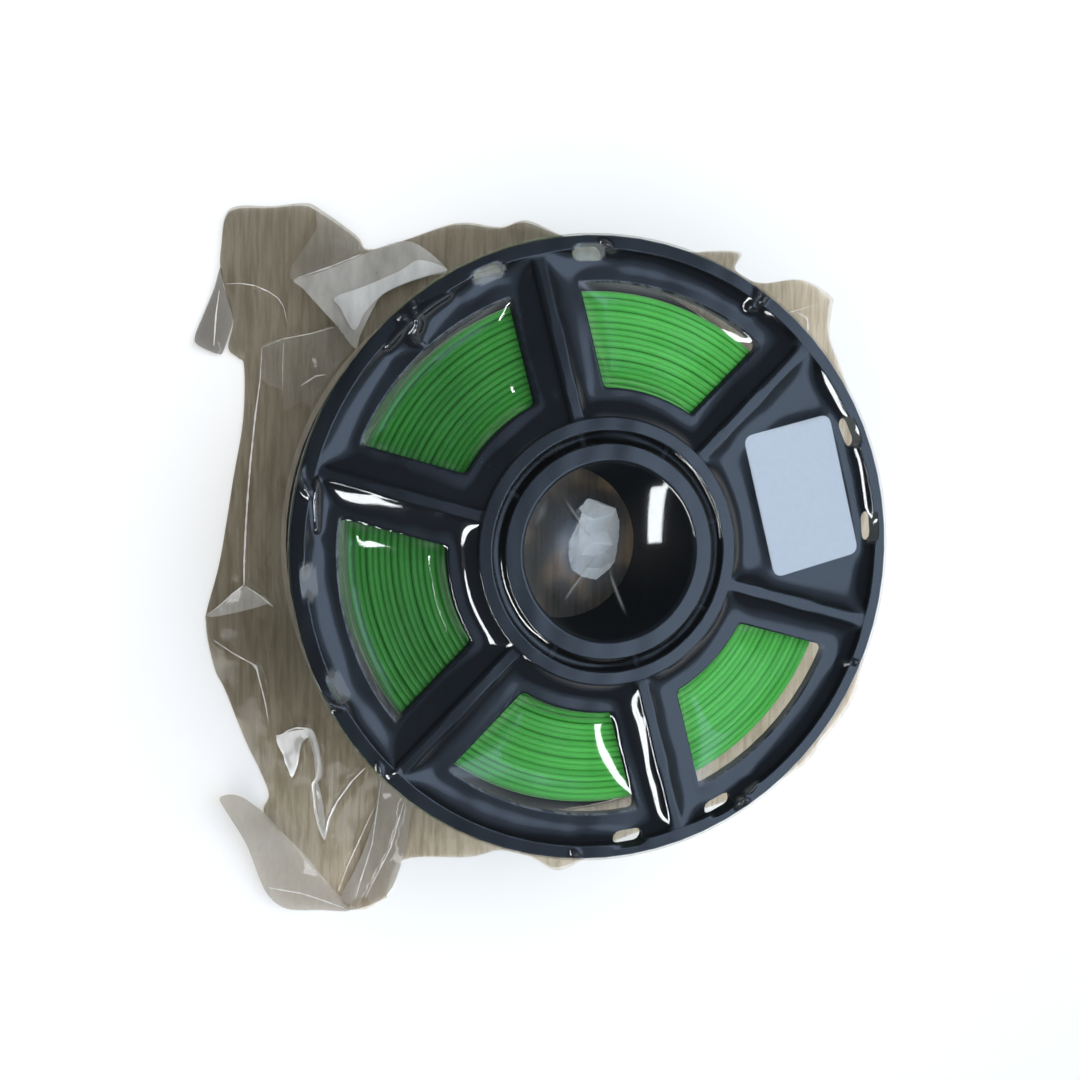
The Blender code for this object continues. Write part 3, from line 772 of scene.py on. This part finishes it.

# Creases of the loose margin, each as its half width and points (x, y, height); the narrow strip of each is a
# painted highlight
CREASES = (
    (0.26, (-77.9, 83.4, 4.4), (-81.2, 73.6, 5), (-85.1, 64.4, 5), (-90.6, 50.2, 5), (-94.5, 39.3, 5),
     (-97.3, 31.1, 4.6), (-100.5, 21.3, 4), (-102.5, 14.2, 3.4), (-106.4, 12.6, 2.8), (-111.6, 9.8, 2.2),
     (-115.8, 8.1, 1.8)),
    (0.16, (-102.5, 14.2, 3.4), (-99.1, 10.1, 2.6), (-96, 5.3, 2)),
    (0.22, (-115.8, 0.2, 1.8), (-111.2, -5.5, 3), (-105.7, -11.2, 4), (-105.9, -14.9, 4),
     (-106.1, -22.5, 3.4), (-106.9, -30.1, 2.4)),
    (0.45, (-105.1, -35, 4), (-102, -33.8, 5), (-99.1, -33.5, 6), (-96.2, -34.7, 6.4), (-95, -37.7, 6.4),
     (-95.1, -42.4, 6), (-95.4, -46.9, 5), (-96.9, -50.9, 4.4), (-99, -53, 3.6), (-100.7, -62.2, 3),
     (-100.9, -67.6, 2.4), (-100.4, -71.8, 2), (-97, -65.2, 3), (-93.4, -60.9, 4), (-87.1, -55.7, 5.4),
     (-82.3, -52.8, 6.6)),
    (0.36, (-105.8, -34.2, 3.6), (-105.2, -39.9, 3), (-104.8, -48.9, 2), (-102, -45.1, 3.4),
     (-99.1, -37.9, 5.4)),
    (0.16, (-81.2, -64.3, 6.6), (-88.6, -73.4, 5.6), (-96, -82.6, 4.6), (-100.6, -89.3, 3.6)),
    (0.26, (-99.4, -93, 2.6), (-94.9, -91.7, 3), (-91.2, -90.2, 3.4), (-88, -87.6, 3.8), (-86, -84.7, 4.2)),
    (0.12, (-73.2, -69.4, 6.2), (-76, -77.3, 5), (-79.5, -84.6, 3.6), (-84.2, -91.3, 2.8)),
    (0.12, (-78, -68.3, 6), (-82.2, -74.9, 5.4), (-87.2, -81.4, 4.6), (-94, -88.2, 3.6)),
    (0.15, (-77.9, 83.5, 4), (-70.9, 84.5, 5), (-62.2, 84.2, 6), (-55.3, 84.6, 6.5)),
    (0.12, (-70.9, 84.5, 5.4), (-73.4, 76.5, 5.8), (-75.5, 68.8, 6)),
    (0.13, (-83.1, 104.2, 3), (-79, 103.6, 3.4), (-74.8, 101.9, 3.6), (-71.5, 99.4, 3.6), (-69.2, 96.9, 3.6),
     (-68.3, 94, 3.6), (-68.5, 89.3, 3.4)),
    (0.12, (78, 52, 4), (96, 56, 4), (114, 56.6, 3.4)),
    (0.3, (103.6, 54.9, 3.2), (106.4, 52.9, 3.2), (106.2, 49.2, 2.8), (103, 45.5, 2.4)),
    (0.1, (62, -72, 4), (68, -86, 3.6), (72, -96.6, 3)),
    (0.1, (-26, -90, 4), (-27, -100, 3.6), (-27.6, -106, 3.2)),
    (0.08, (30, -88, 4), (34, -96, 3), (36, -103, 2)),
)
CREASE_STEP = 1.5
CREASE_RISE = 0.12
CREASE_HEIGHT = 0.55
WIDEST_CREASE = 0.45
LONGEST_ON_CREASE = 3.0
CLEAR_OF_LINES = 0.55
FOLD_CREASE = 0.2

# Folded-over parts of the bag, and patches of painted glare, each as its kind of film, its outline of (x, y,
# height) and the creases in it
FOLDS = (
    ("thin",
     ((-51.1, 119.2, 6), (-52.9, 113.9, 9), (-56.9, 109.6, 11), (-62.2, 105, 13), (-64.4, 102.1, 13),
      (-64.1, 100.2, 11), (-55.1, 101, 9), (-38.7, 104.6, 5), (-39.9, 105.5, 5), (-44.6, 113.9, 5)),
     ((-62, 101, 11), (-52, 102.4, 8.6), (-41, 104.6, 5.6))),
    ("double",
     ((-63.5, 100.2, 9), (-55, 101.1, 8), (-38.7, 104.6, 4.5), (-29.1, 106, 4), (-22.6, 103.7, 4),
      (-16.2, 94, 6), (-22.1, 93.5, 6), (-31, 92.4, 7), (-38.7, 90.4, 8), (-43.5, 85.8, 9),
      (-48.6, 79.9, 10), (-51.4, 76, 12), (-54.6, 83.2, 11), (-58.1, 90.1, 10), (-61.6, 97, 9))),
    ("bright",
     ((-53.1, 92.4, 10.2), (-43.3, 94, 9.2), (-31.4, 96.5, 8), (-24.3, 98.7, 7), (-16.3, 94.2, 7),
      (-22.2, 93.6, 7), (-31.1, 92.5, 8.2), (-38.8, 90.4, 9.2), (-45.5, 86.1, 10.2), (-48.6, 82.6, 10.8),
      (-50.8, 82, 11.2), (-52.4, 88.8, 10.8))),
    ("dark",
     ((-83.3, 109.4, 2.4), (-86.9, 103.6, 2), (-92.1, 96.6, 2), (-96.2, 90.8, 2.4), (-95.8, 88, 2.4),
      (-91, 84.4, 1.6), (-89.5, 84.7, 2), (-86.3, 89, 4.5), (-84, 93.1, 5), (-83.5, 97.7, 5),
      (-84, 103.2, 4)),
     ((-85.6, 102.6, 3.4), (-88.4, 96, 3.8), (-91.6, 87, 2.4))),
    ("thin",
     ((-77.9, 83.5, 4.6), (-70.9, 84.5, 5.6), (-62.2, 84.2, 6.6), (-55.3, 84.6, 7), (-52.2, 81.1, 7.6),
      (-52.4, 76.4, 9), (-57.4, 72.6, 10), (-64, 67, 10), (-68.6, 62.2, 9), (-71.1, 64.3, 7.6),
      (-76.8, 63, 6.6), (-75.5, 68.9, 6.2), (-80.3, 73.5, 5.4)),
     ((-69.7, 69.4, 7.6), (-64.5, 71.2, 8.2), (-61.6, 70.9, 8.6))),
    ("tan",
     ((-114.9, -57.7, 4), (-117.7, -52.1, 7), (-119.7, -48.1, 10), (-122.1, -45.6, 12), (-124.9, -44.7, 13),
      (-126.1, -45.6, 13), (-125.5, -49.6, 12), (-122.8, -62.1, 10), (-122.2, -74.2, 8), (-121.6, -80.4, 6),
      (-119.8, -85.7, 4.5), (-116, -89.9, 3), (-107.1, -93.7, 2.4), (-98.8, -97.1, 2), (-100.6, -90.9, 4),
      (-104.3, -82.9, 5), (-108.3, -73.4, 5.4), (-112.3, -64.3, 5)),
     ((-120.7, -80.1, 6.6), (-116.6, -82.7, 6), (-111.7, -85.7, 5.4), (-106.3, -90.3, 4.4),
      (-100.5, -95.6, 2.8))),
    ("tan",
     ((-77.6, -53.5, 8.6), (-69.2, -62.6, 8.6), (-71.8, -70.8, 6), (-78.6, -86, 3.6), (-86.4, -96.1, 2.4),
      (-98.4, -97.1, 2.2), (-100.3, -91.2, 3.7), (-94.6, -84.4, 4.6), (-88.4, -76.5, 5.2),
      (-82.6, -66.4, 6.2)),
     ((-97.2, -95.4, 3), (-86.4, -77.5, 5.8), (-78.4, -58, 8.4)),
     ((-94, -95.6, 3), (-81, -81, 4.9), (-72.4, -66, 7.6))),
    # Painted highlights: milky white patches where the film is pinched and catches the light
    ("pinched",
     ((-105.5, -34.5, 3.2), (-96, -34.8, 4.5), (-94.8, -37.4, 4.5), (-98.6, -38.5, 4.2),
      (-104.2, -48.3, 2.6), (-105.4, -41, 3))),
    ("pinched",
     ((-96.1, -35.1, 4.6), (-94.3, -36.8, 4.5), (-94.3, -43.6, 4.2), (-95.6, -50.9, 3.4), (-97.9, -52, 3.2),
      (-96.5, -44, 4))),
    ("pinched",
     ((-98, -51.3, 3.2), (-97.6, -58.2, 2.9), (-99.7, -71.1, 2.2), (-100.6, -66.8, 2.4))),
    ("glare",
     ((-115.4, 7.9, 2.2), (-106.4, 12.4, 3.3), (-102.5, 14, 3.9), (-98.9, 9.9, 3.1), (-97, 6.8, 2.6),
      (-106, 6.6, 2.4))),
)


def margin_start(angle):
    """Height at which the film leaves the side of the spool: higher on the loose left side."""
    turn = np.abs(wrapped(angle - np.pi))
    return MARGIN_FOOT + LOOSE_RISE * np.clip(1.25 - turn / LOOSE_HALF, 0, 1)


def densify(line, step):
    """Points along a polyline, no further apart than the step."""
    line = np.asarray(line, float)
    points = [line[0]]
    for start, end in zip(line[:-1], line[1:]):
        count = max(1, math.ceil(np.linalg.norm(end[:2] - start[:2]) / step))
        points += [start + (end - start) * i / count for i in range(1, count + 1)]
    return np.array(points)


def inside_outline(points, outline):
    """Even-odd test of points against a closed outline."""
    x, y = points[:, 0], points[:, 1]
    found = np.zeros(len(points), bool)
    for a, b in zip(outline, np.roll(outline, -1, axis=0)):
        crosses = (a[1] > y) != (b[1] > y)
        with np.errstate(divide="ignore", invalid="ignore"):
            at = a[0] + (y - a[1]) * (b[0] - a[0]) / (b[1] - a[1])
        found ^= crosses & (x < at)
    return found


def rounded_edge(line, steps):
    """A smooth closed curve through the given points."""
    here = np.asarray(line, float)[:, None]
    before, ahead, beyond = (np.roll(here, shift, axis=0) for shift in (1, -1, -2))
    t = (np.arange(steps) / steps)[:, None]
    bend = (2 * before - 5 * here + 4 * ahead - beyond) * t**2
    twist = (3 * here - before - 3 * ahead + beyond) * t**3
    return ((2 * here + (ahead - before) * t + bend + twist) / 2).reshape(-1, 3)


def scatter(edge, spacing, rng):
    """Points of a square grid over an outline's box, each shifted at random."""
    low, high = edge[:, :2].min(0), edge[:, :2].max(0)
    grid = np.meshgrid(np.arange(low[0], high[0], spacing), np.arange(low[1], high[1], spacing))
    grid = np.stack(grid, -1).reshape(-1, 2)
    return grid + rng.uniform(-0.3, 0.3, grid.shape) * spacing


def triangulate(points, edges, outline):
    """A flat mesh inside an outline: its points, its triangles, and the given points that each comes from."""
    flat = [Vector(point[:2]) for point in points]
    verts, _, faces, sources, _, _ = delaunay_2d_cdt(flat, edges, [], 0, 1e-5)
    place = np.array([tuple(v) for v in verts])
    triangles = np.array([tuple(face) for face in faces])
    return place, triangles[inside_outline(place[triangles].mean(axis=1), outline)], sources


def even_out(height, free, triangles):
    """Settles each free point at the mean height of its neighbours, less a slight sag."""
    pairs = np.concatenate([triangles[:, [0, 1]], triangles[:, [1, 2]], triangles[:, [2, 0]]])
    pairs = np.unique(np.sort(pairs, axis=1), axis=0)
    one, other = pairs.T
    neighbours = np.maximum(np.bincount(pairs.ravel(), minlength=len(height)), 1)
    for _ in range(MARGIN_SWEEPS):
        total = np.zeros(len(height))
        np.add.at(total, one, height[other])
        np.add.at(total, other, height[one])
        height = np.where(free, np.maximum(total / neighbours - MARGIN_SAG, MARGIN_LOW), height)
    return height


def taut_film(edge, creases, spacing, rng, hole=None):
    """A film stretched between its edge, its creases and a hole: triangles, and heights that even out.

    The result is points, triangles, and for each triangle whether it lies on a crease.
    """
    fixed = {}
    points = []
    edges = []

    def add_line(line, closed, creased):
        first = len(points)
        for place in line:
            fixed[len(points)] = (place[2], creased)
            points.append(place)
        count = len(line)
        for i in range(count if closed else count - 1):
            edges.append((first + i, first + (i + 1) % count))

    def within(places):
        found = inside_outline(places, edge)
        if hole is not None:
            found &= np.hypot(places[:, 0], places[:, 1]) > MARGIN_INNER + 0.5
        return found

    add_line(edge, True, False)
    lines = [edge]
    if hole is not None:
        add_line(hole, True, False)
        lines.append(hole)
    for half, *crease in creases:
        line = densify(crease, CREASE_STEP)
        line = line[within(line)]
        if len(line) < 3:
            continue
        way = np.gradient(line[:, :2], axis=0)
        way /= np.linalg.norm(way, axis=1, keepdims=True)
        width = half * np.sin(np.pi * (np.arange(len(line)) + 0.7) / (len(line) + 0.4)) ** 0.5
        width *= rng.uniform(0.6, 1.3, len(line))
        line[:, 2] = 1.0 + CREASE_HEIGHT * (line[:, 2] - 1.0)
        line[:, 2] += CREASE_RISE
        add_line(line, False, True)
        lines.append(line)
        for sign in (-1, 1):
            beside = line.copy()
            beside[:, 0] -= sign * width * way[:, 1]
            beside[:, 1] += sign * width * way[:, 0]
            beside[:, 2] -= CREASE_RISE
            add_line(beside, False, True)
    lines = np.concatenate(lines)[:, :2]
    grid = scatter(edge, spacing, rng)
    grid = grid[within(grid)]
    nearest = np.array([np.min(np.hypot(*(lines - place).T)) for place in grid])
    grid = grid[nearest > CLEAR_OF_LINES * spacing]
    points.extend(np.column_stack([grid, np.zeros(len(grid))]))

    place, triangles, origin = triangulate(points, edges, edge)
    if hole is not None:
        triangles = triangles[~inside_outline(place[triangles].mean(axis=1), hole)]
    height = np.full(len(place), np.nan)
    creased = np.zeros(len(place), dtype=bool)
    for i, sources in enumerate(origin):
        held = [fixed[s] for s in sources if s in fixed]
        if held:
            height[i] = max(level for level, _ in held)
            creased[i] = all(of_crease for _, of_crease in held)
    free = np.isnan(height)
    height[free] = np.mean(height[~free])
    height = even_out(height, free, triangles)

    # A crease's triangles lie between its own line and the lines beside it
    corners = place[triangles]
    area = np.cross(corners[:, 1] - corners[:, 0], corners[:, 2] - corners[:, 0])
    longest = np.max(np.linalg.norm(corners - np.roll(corners, -1, axis=1), axis=2), axis=1)
    narrow = (np.abs(area) / longest < 1.5 * WIDEST_CREASE) & (longest < LONGEST_ON_CREASE)
    on_crease = creased[triangles].all(axis=1) & narrow
    return np.column_stack([place, height]), triangles, on_crease


def bore_dish(turn):
    """Rows of the film over the bore: a dish with faint pleats."""
    rows = []
    for radius in np.concatenate([[0.3], np.linspace(1.2, SKIN_START - 0.5, BORE_ROWS)]):
        share = radius / SKIN_START
        pleat = np.zeros(len(turn))
        for middle in np.radians(BORE_PLEATS):
            pleat += np.exp(-((wrapped(turn - middle) * radius / PLEAT_WIDTH) ** 2))
        dish = FRONT_TOP + FILM_LIFT - BORE_DIP * (1 - share**2)
        rows.append(polar(radius, turn, dish + PLEAT_RISE * pleat * math.sin(math.pi * share) ** 2))
    return rows


def make_front_film():
    """The front film: pressed onto the flange, down the spool's side and out into the creased margin."""
    rng = np.random.default_rng(3)
    radii, angles, level = press_film()

    # Every second column of the grid is kept, and all of them by the ribs and the wrinkles
    wrinkled = np.array([knot[1] for wrinkle in WRINKLES for knot in wrinkle])
    kept = np.arange(COLUMNS) % 2 == 0
    for places, reach in ((np.degrees(RIB_ANGLES), 10), (wrinkled, 3)):
        kept |= np.min(np.abs(wrapped(np.degrees(angles)[:, None] - places, 180)), axis=1) < reach
    columns = np.flatnonzero(kept)
    every = np.where((radii < WINDOW_INNER) | (radii > OUTER_ROWS), 2, 4)
    every[(radii > HUB_ROWS[0]) & (radii < HUB_ROWS[1]) | (radii > RIM_ROWS)] = 1
    rows = np.flatnonzero((np.arange(len(radii)) % every == 0) | (radii > radii[-1] - 0.1))
    turn = angles[columns]
    grid = bore_dish(turn)
    grid += [polar(radii[i], turn, level[i, columns]) for i in rows]
    front_rows = len(grid)
    start = margin_start(turn)
    grid += [polar(radius, turn, np.maximum(height, start + 1.0)) for radius, height in SIDE_ROWS]
    inner_ring = polar(MARGIN_INNER, turn, start)
    grid.append(inner_ring)
    count = len(columns)
    faces = [tuple(range(count))]
    faces += [(a, d, c, b) for a, b, c, d in strip_faces(len(grid), count)]
    skin_faces = len(faces)

    edge = rounded_edge(MARGIN_EDGE, steps=5)
    *margin, on_crease = taut_film(edge, CREASES, MARGIN_SPACING, rng, inner_ring)
    points, faces = joined([(np.concatenate(grid), faces), margin])
    front_faces = 1 + (front_rows - 1) * count
    # The creases' strips take the milky white film of painted highlight
    films = [SKIN_FILM, SIDE_FILM, EDGE_FILM, CREASE_GLINT_FILM]
    slots = [0] * front_faces + [1] * (skin_faces - front_faces) + np.where(on_crease, 3, 2).tolist()
    skin = add_mesh("bag_front_skin", points, faces, films, slots)
    weld(skin)
    add_veil(skin)
    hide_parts("bag_front_film")
    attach(skin, "root")
    return edge


def add_veil(skin):
    """Marks where the film looks milky, and where it clings to the strand or sinks into the hub's groove.

    It is milky where it is slack along the windows' outer edges, over the slots up left, and on the wrinkles,
    where the haze is a painted highlight; a faint glow over the bore is a painted reflection.
    """
    count = len(skin.data.vertices)
    place = np.zeros(count * 3)
    skin.data.vertices.foreach_get("co", place)
    x, y, z = place.reshape(-1, 3).T / MM
    radius = np.hypot(x, y)
    angle = np.arctan2(y, x)
    inside_window = (window_depth(radius, angle) > 0) & (z > WINDING_FRONT)
    strip = np.clip((radius - VEIL_START) / (WINDOW_OUTER - VEIL_START), 0, 1)
    uneven = 0.75 + 0.25 * np.sin(7 * angle) * np.sin(11 * angle + 1)
    up_left = 0.5 + 0.5 * np.cos(angle - MILKY_WAY)
    slack = VEIL * strip * uneven * inside_window
    amount = np.where(slot_depth(radius, angle) > 0, SLOT_VEIL * up_left, slack)
    _, apart = wrinkle_crests(x, y)
    # Painted highlight: faint milky lines along the wrinkles' crests
    amount += WRINKLE_GLINT_VEIL * np.exp(-((apart / FOLD_WIDTH) ** 2)) * (z > PLATE_TOP)
    clings = 1.0 * (inside_window & (z < WINDING_FRONT + FILM_LIFT + 0.3))
    groove = (radius > COLLAR_RADIUS + 0.2) & (radius < BARREL_INNER - 0.2)
    streak = np.clip(np.cos(angle - STREAK_WAY), 0, 1) ** 2
    clings = np.where(groove, GROOVE_CLING * (1 - streak), clings)
    for middle in np.radians(BORE_PLEATS):
        apart = radius * wrapped(angle - middle) / FOLD_WIDTH
        amount += PLEAT_VEIL * np.exp(-(apart**2) - ((radius - PLEAT_MIDDLE) / PLEAT_REACH) ** 4)
    for (across, along), length, width, degrees, haze in MILKY_SPOTS_AND_GLOW:
        spot = ((x - across) + 1j * (y - along)) * np.exp(-1j * math.radians(degrees))
        amount += haze * np.exp(-((spot.real / length) ** 2) - (spot.imag / width) ** 2)
    for name, values in (("veil", amount), ("cling", clings)):
        attribute = skin.data.attributes.new(name, "FLOAT", "POINT")
        attribute.data.foreach_set("value", values.astype(np.float32))


def make_folds():
    """Corners of the bag that are folded over: more layers of the same film, milky where they lie double; and
    milky white patches of painted glare.
    """
    rng = np.random.default_rng(9)
    patches, slots = [], []
    kinds = list(FOLD_FILMS)
    for kind, outline, *creases in FOLDS:
        edge = rounded_edge(outline, steps=4)
        lines = [(FOLD_CREASE, *crease) for crease in creases]
        *patch, on_crease = taut_film(edge, lines, FOLD_SPACING, rng)
        patches.append(patch)
        slots += np.where(on_crease, len(kinds), kinds.index(kind)).tolist()
    # Crease strips in the folds are painted highlights too
    films = [*FOLD_FILMS.values(), CREASE_GLINT_FILM]
    folds = add_mesh("bag_folds", *joined(patches), films, slots)
    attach(folds, "root")


def weld(obj):
    """Joins points at the same place and turns all faces one way."""
    bm = bmesh.new()
    bm.from_mesh(obj.data)
    bmesh.ops.remove_doubles(bm, verts=bm.verts, dist=1e-6)
    bmesh.ops.recalc_face_normals(bm, faces=bm.faces)
    bm.to_mesh(obj.data)
    bm.free()


# Back film: a ring of points under the spool, then the height of its flat part and the waves round this
BACK_RING = 60.0
BACK_RING_POINTS = 240
BACK_SPACING = 4.0
BACK_LOW = 0.3
BACK_FLAT = 92.0
BACK_EASE = 20.0
BACK_WAVE = 0.35


def make_back_film(edge):
    """The back film, flat under the spool and slightly wavy in the margin."""
    rng = np.random.default_rng(5)
    ring = polar(BACK_RING, 2 * np.pi * np.arange(BACK_RING_POINTS) / BACK_RING_POINTS, 0)
    grid = scatter(edge, BACK_SPACING, rng)
    grid = grid[inside_outline(grid, edge)]
    edges = [(i, (i + 1) % len(edge)) for i in range(len(edge))]
    place, triangles, _ = triangulate(np.concatenate([edge[:, :2], ring[:, :2], grid]), edges, edge)
    out = np.clip((np.hypot(place[:, 0], place[:, 1]) - BACK_FLAT) / BACK_EASE, 0, 1)
    wave = np.sin(place[:, 0] * 0.31 + 1.0) * np.sin(place[:, 1] * 0.27)
    height = BACK_LOW + out * BACK_WAVE * (1 + wave)
    back = add_mesh("bag_back_sheet", np.column_stack([place, height]), triangles.tolist(), [BACK_FILM])
    weld(back)
    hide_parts("bag_back_film")
    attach(back, "root")


# Stage, light and camera

FLOOR_HALF = 4000.0
CEILING_WAY = Vector((0.52, -0.25, 0.815))
DAYLIGHT = (1.0, 0.995, 0.985)
TUBE_LIGHT = (0.93, 0.97, 1.0)
LAMP_DISTANCE = 1200.0
SENSOR = 36.0
FOCAL_PIXELS = 1030.49
PHOTO_PIXELS = 1080


def make_floor():
    tree = new_material("pale_floor")
    shade = tree.ramp(tree.noise(6, 2), [(0.3, (0.93, 0.93, 0.93)), (0.7, (0.95, 0.95, 0.95))])
    material = tree.show(tree.add("BsdfDiffuse", {"Color": shade}))
    corners = [(x * FLOOR_HALF, y * FLOOR_HALF, -0.05) for x, y in ((-1, -1), (1, -1), (1, 1), (-1, 1))]
    floor = add_mesh("floor", corners, [(0, 1, 2, 3)], [material])


def make_world():
    """A dim room with a pale horizon and a soft bright patch of ceiling to the right."""
    world = bpy.data.worlds.new("studio")
    bpy.context.scene.world = world
    tree = Tree(world, "ShaderNodeOutputWorld")
    way = tree.add("TexCoord", {}).outputs["Generated"]
    room = tree.ramp(tree.add("SeparateXYZ", {"Vector": way}).outputs["Z"], [
        (0.0, (0.80, 0.80, 0.80)), (0.15, (0.60, 0.61, 0.62)), (0.35, (0.20, 0.22, 0.24)),
        (0.5, (0.04, 0.05, 0.06)), (1.0, (0.02, 0.027, 0.036)),
    ])
    patch = tree.add("VectorMath", {0: way, 1: CEILING_WAY.normalized()}, operation="DOT_PRODUCT")
    ceiling = tree.ramp(patch.outputs["Value"], [
        (0.83, (0.0, 0.0, 0.0)), (0.89, (0.14, 0.19, 0.26)), (0.935, (0.27, 0.36, 0.50)),
        (0.955, (0.66, 0.86, 1.18)), (0.975, (0.94, 1.22, 1.68)),
    ])
    total = tree.add("VectorMath", {0: room, 1: ceiling}, operation="ADD").outputs["Vector"]
    tree.show(tree.add("Background", {"Color": total, "Strength": 1.0}))


def add_softbox(name, way, along, size, watts, mirrored):
    """A rectangular lamp that faces the spool: either only mirrored in it, or light without a reflection."""
    lamp = bpy.data.lights.new(name, "AREA")
    lamp.shape = "RECTANGLE"
    lamp.size, lamp.size_y = (side * MM for side in size)
    lamp.energy = watts
    lamp.color = TUBE_LIGHT if mirrored else DAYLIGHT
    obj = bpy.data.objects.new(name, lamp)
    obj.visible_glossy = mirrored
    obj.visible_diffuse = not mirrored
    back = Vector(way).normalized()
    right = Vector(along).cross(back).normalized()
    turn = Matrix((right, back.cross(right), back)).transposed()
    obj.matrix_world = Matrix.Translation(back * LAMP_DISTANCE * MM) @ turn.to_4x4()
    bpy.context.scene.collection.objects.link(obj)


def make_camera():
    """The photograph's own viewpoint, found from the flange's circles and ribs."""
    camera = bpy.data.cameras.new("camera")
    camera.sensor_width = SENSOR
    camera.lens = SENSOR * FOCAL_PIXELS / PHOTO_PIXELS
    camera.clip_start = 0.01
    camera.clip_end = 50.0
    obj = bpy.data.objects.new("camera", camera)
    turn = Matrix((
        (0.93554, 0.26433, -0.23429),
        (-0.24129, 0.96268, 0.12259),
        (0.25795, -0.05816, 0.96441),
    ))
    obj.matrix_world = Matrix.Translation(Vector((-87.79, 44.69, 333.27)) * MM) @ turn.to_4x4()
    bpy.context.scene.collection.objects.link(obj)
    bpy.context.scene.camera = obj


def dress_cad():
    """Better materials on the CAD nodes that stay."""
    for node, material in (("front_flange", BLACK), ("back_flange", BLACK), ("label", LABEL_PAPER)):
        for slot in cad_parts[node].material_slots:
            slot.material = material


make_camera()
dress_cad()
make_winding()
make_sachet()
make_back_film(make_front_film())
make_folds()
make_floor()
make_world()
add_softbox("ceiling_strip", (-0.34, -0.36, 0.87), (0.2, 1.0, 0.0), (160, 740), 5.5, True)
add_softbox("window_side", (0.45, 0.30, 0.84), (0.0, 1.0, 0.0), (900, 900), 7.6, False)
add_softbox("room_side", (-0.42, -0.38, 0.83), (0.0, 1.0, 0.0), (900, 900), 5.8, False)
add_softbox("overhead", (-0.05, 0.05, 1.0), (0.0, 1.0, 0.0), (700, 700), 4.4, False)
bpy.context.scene.view_settings.view_transform = "Standard"
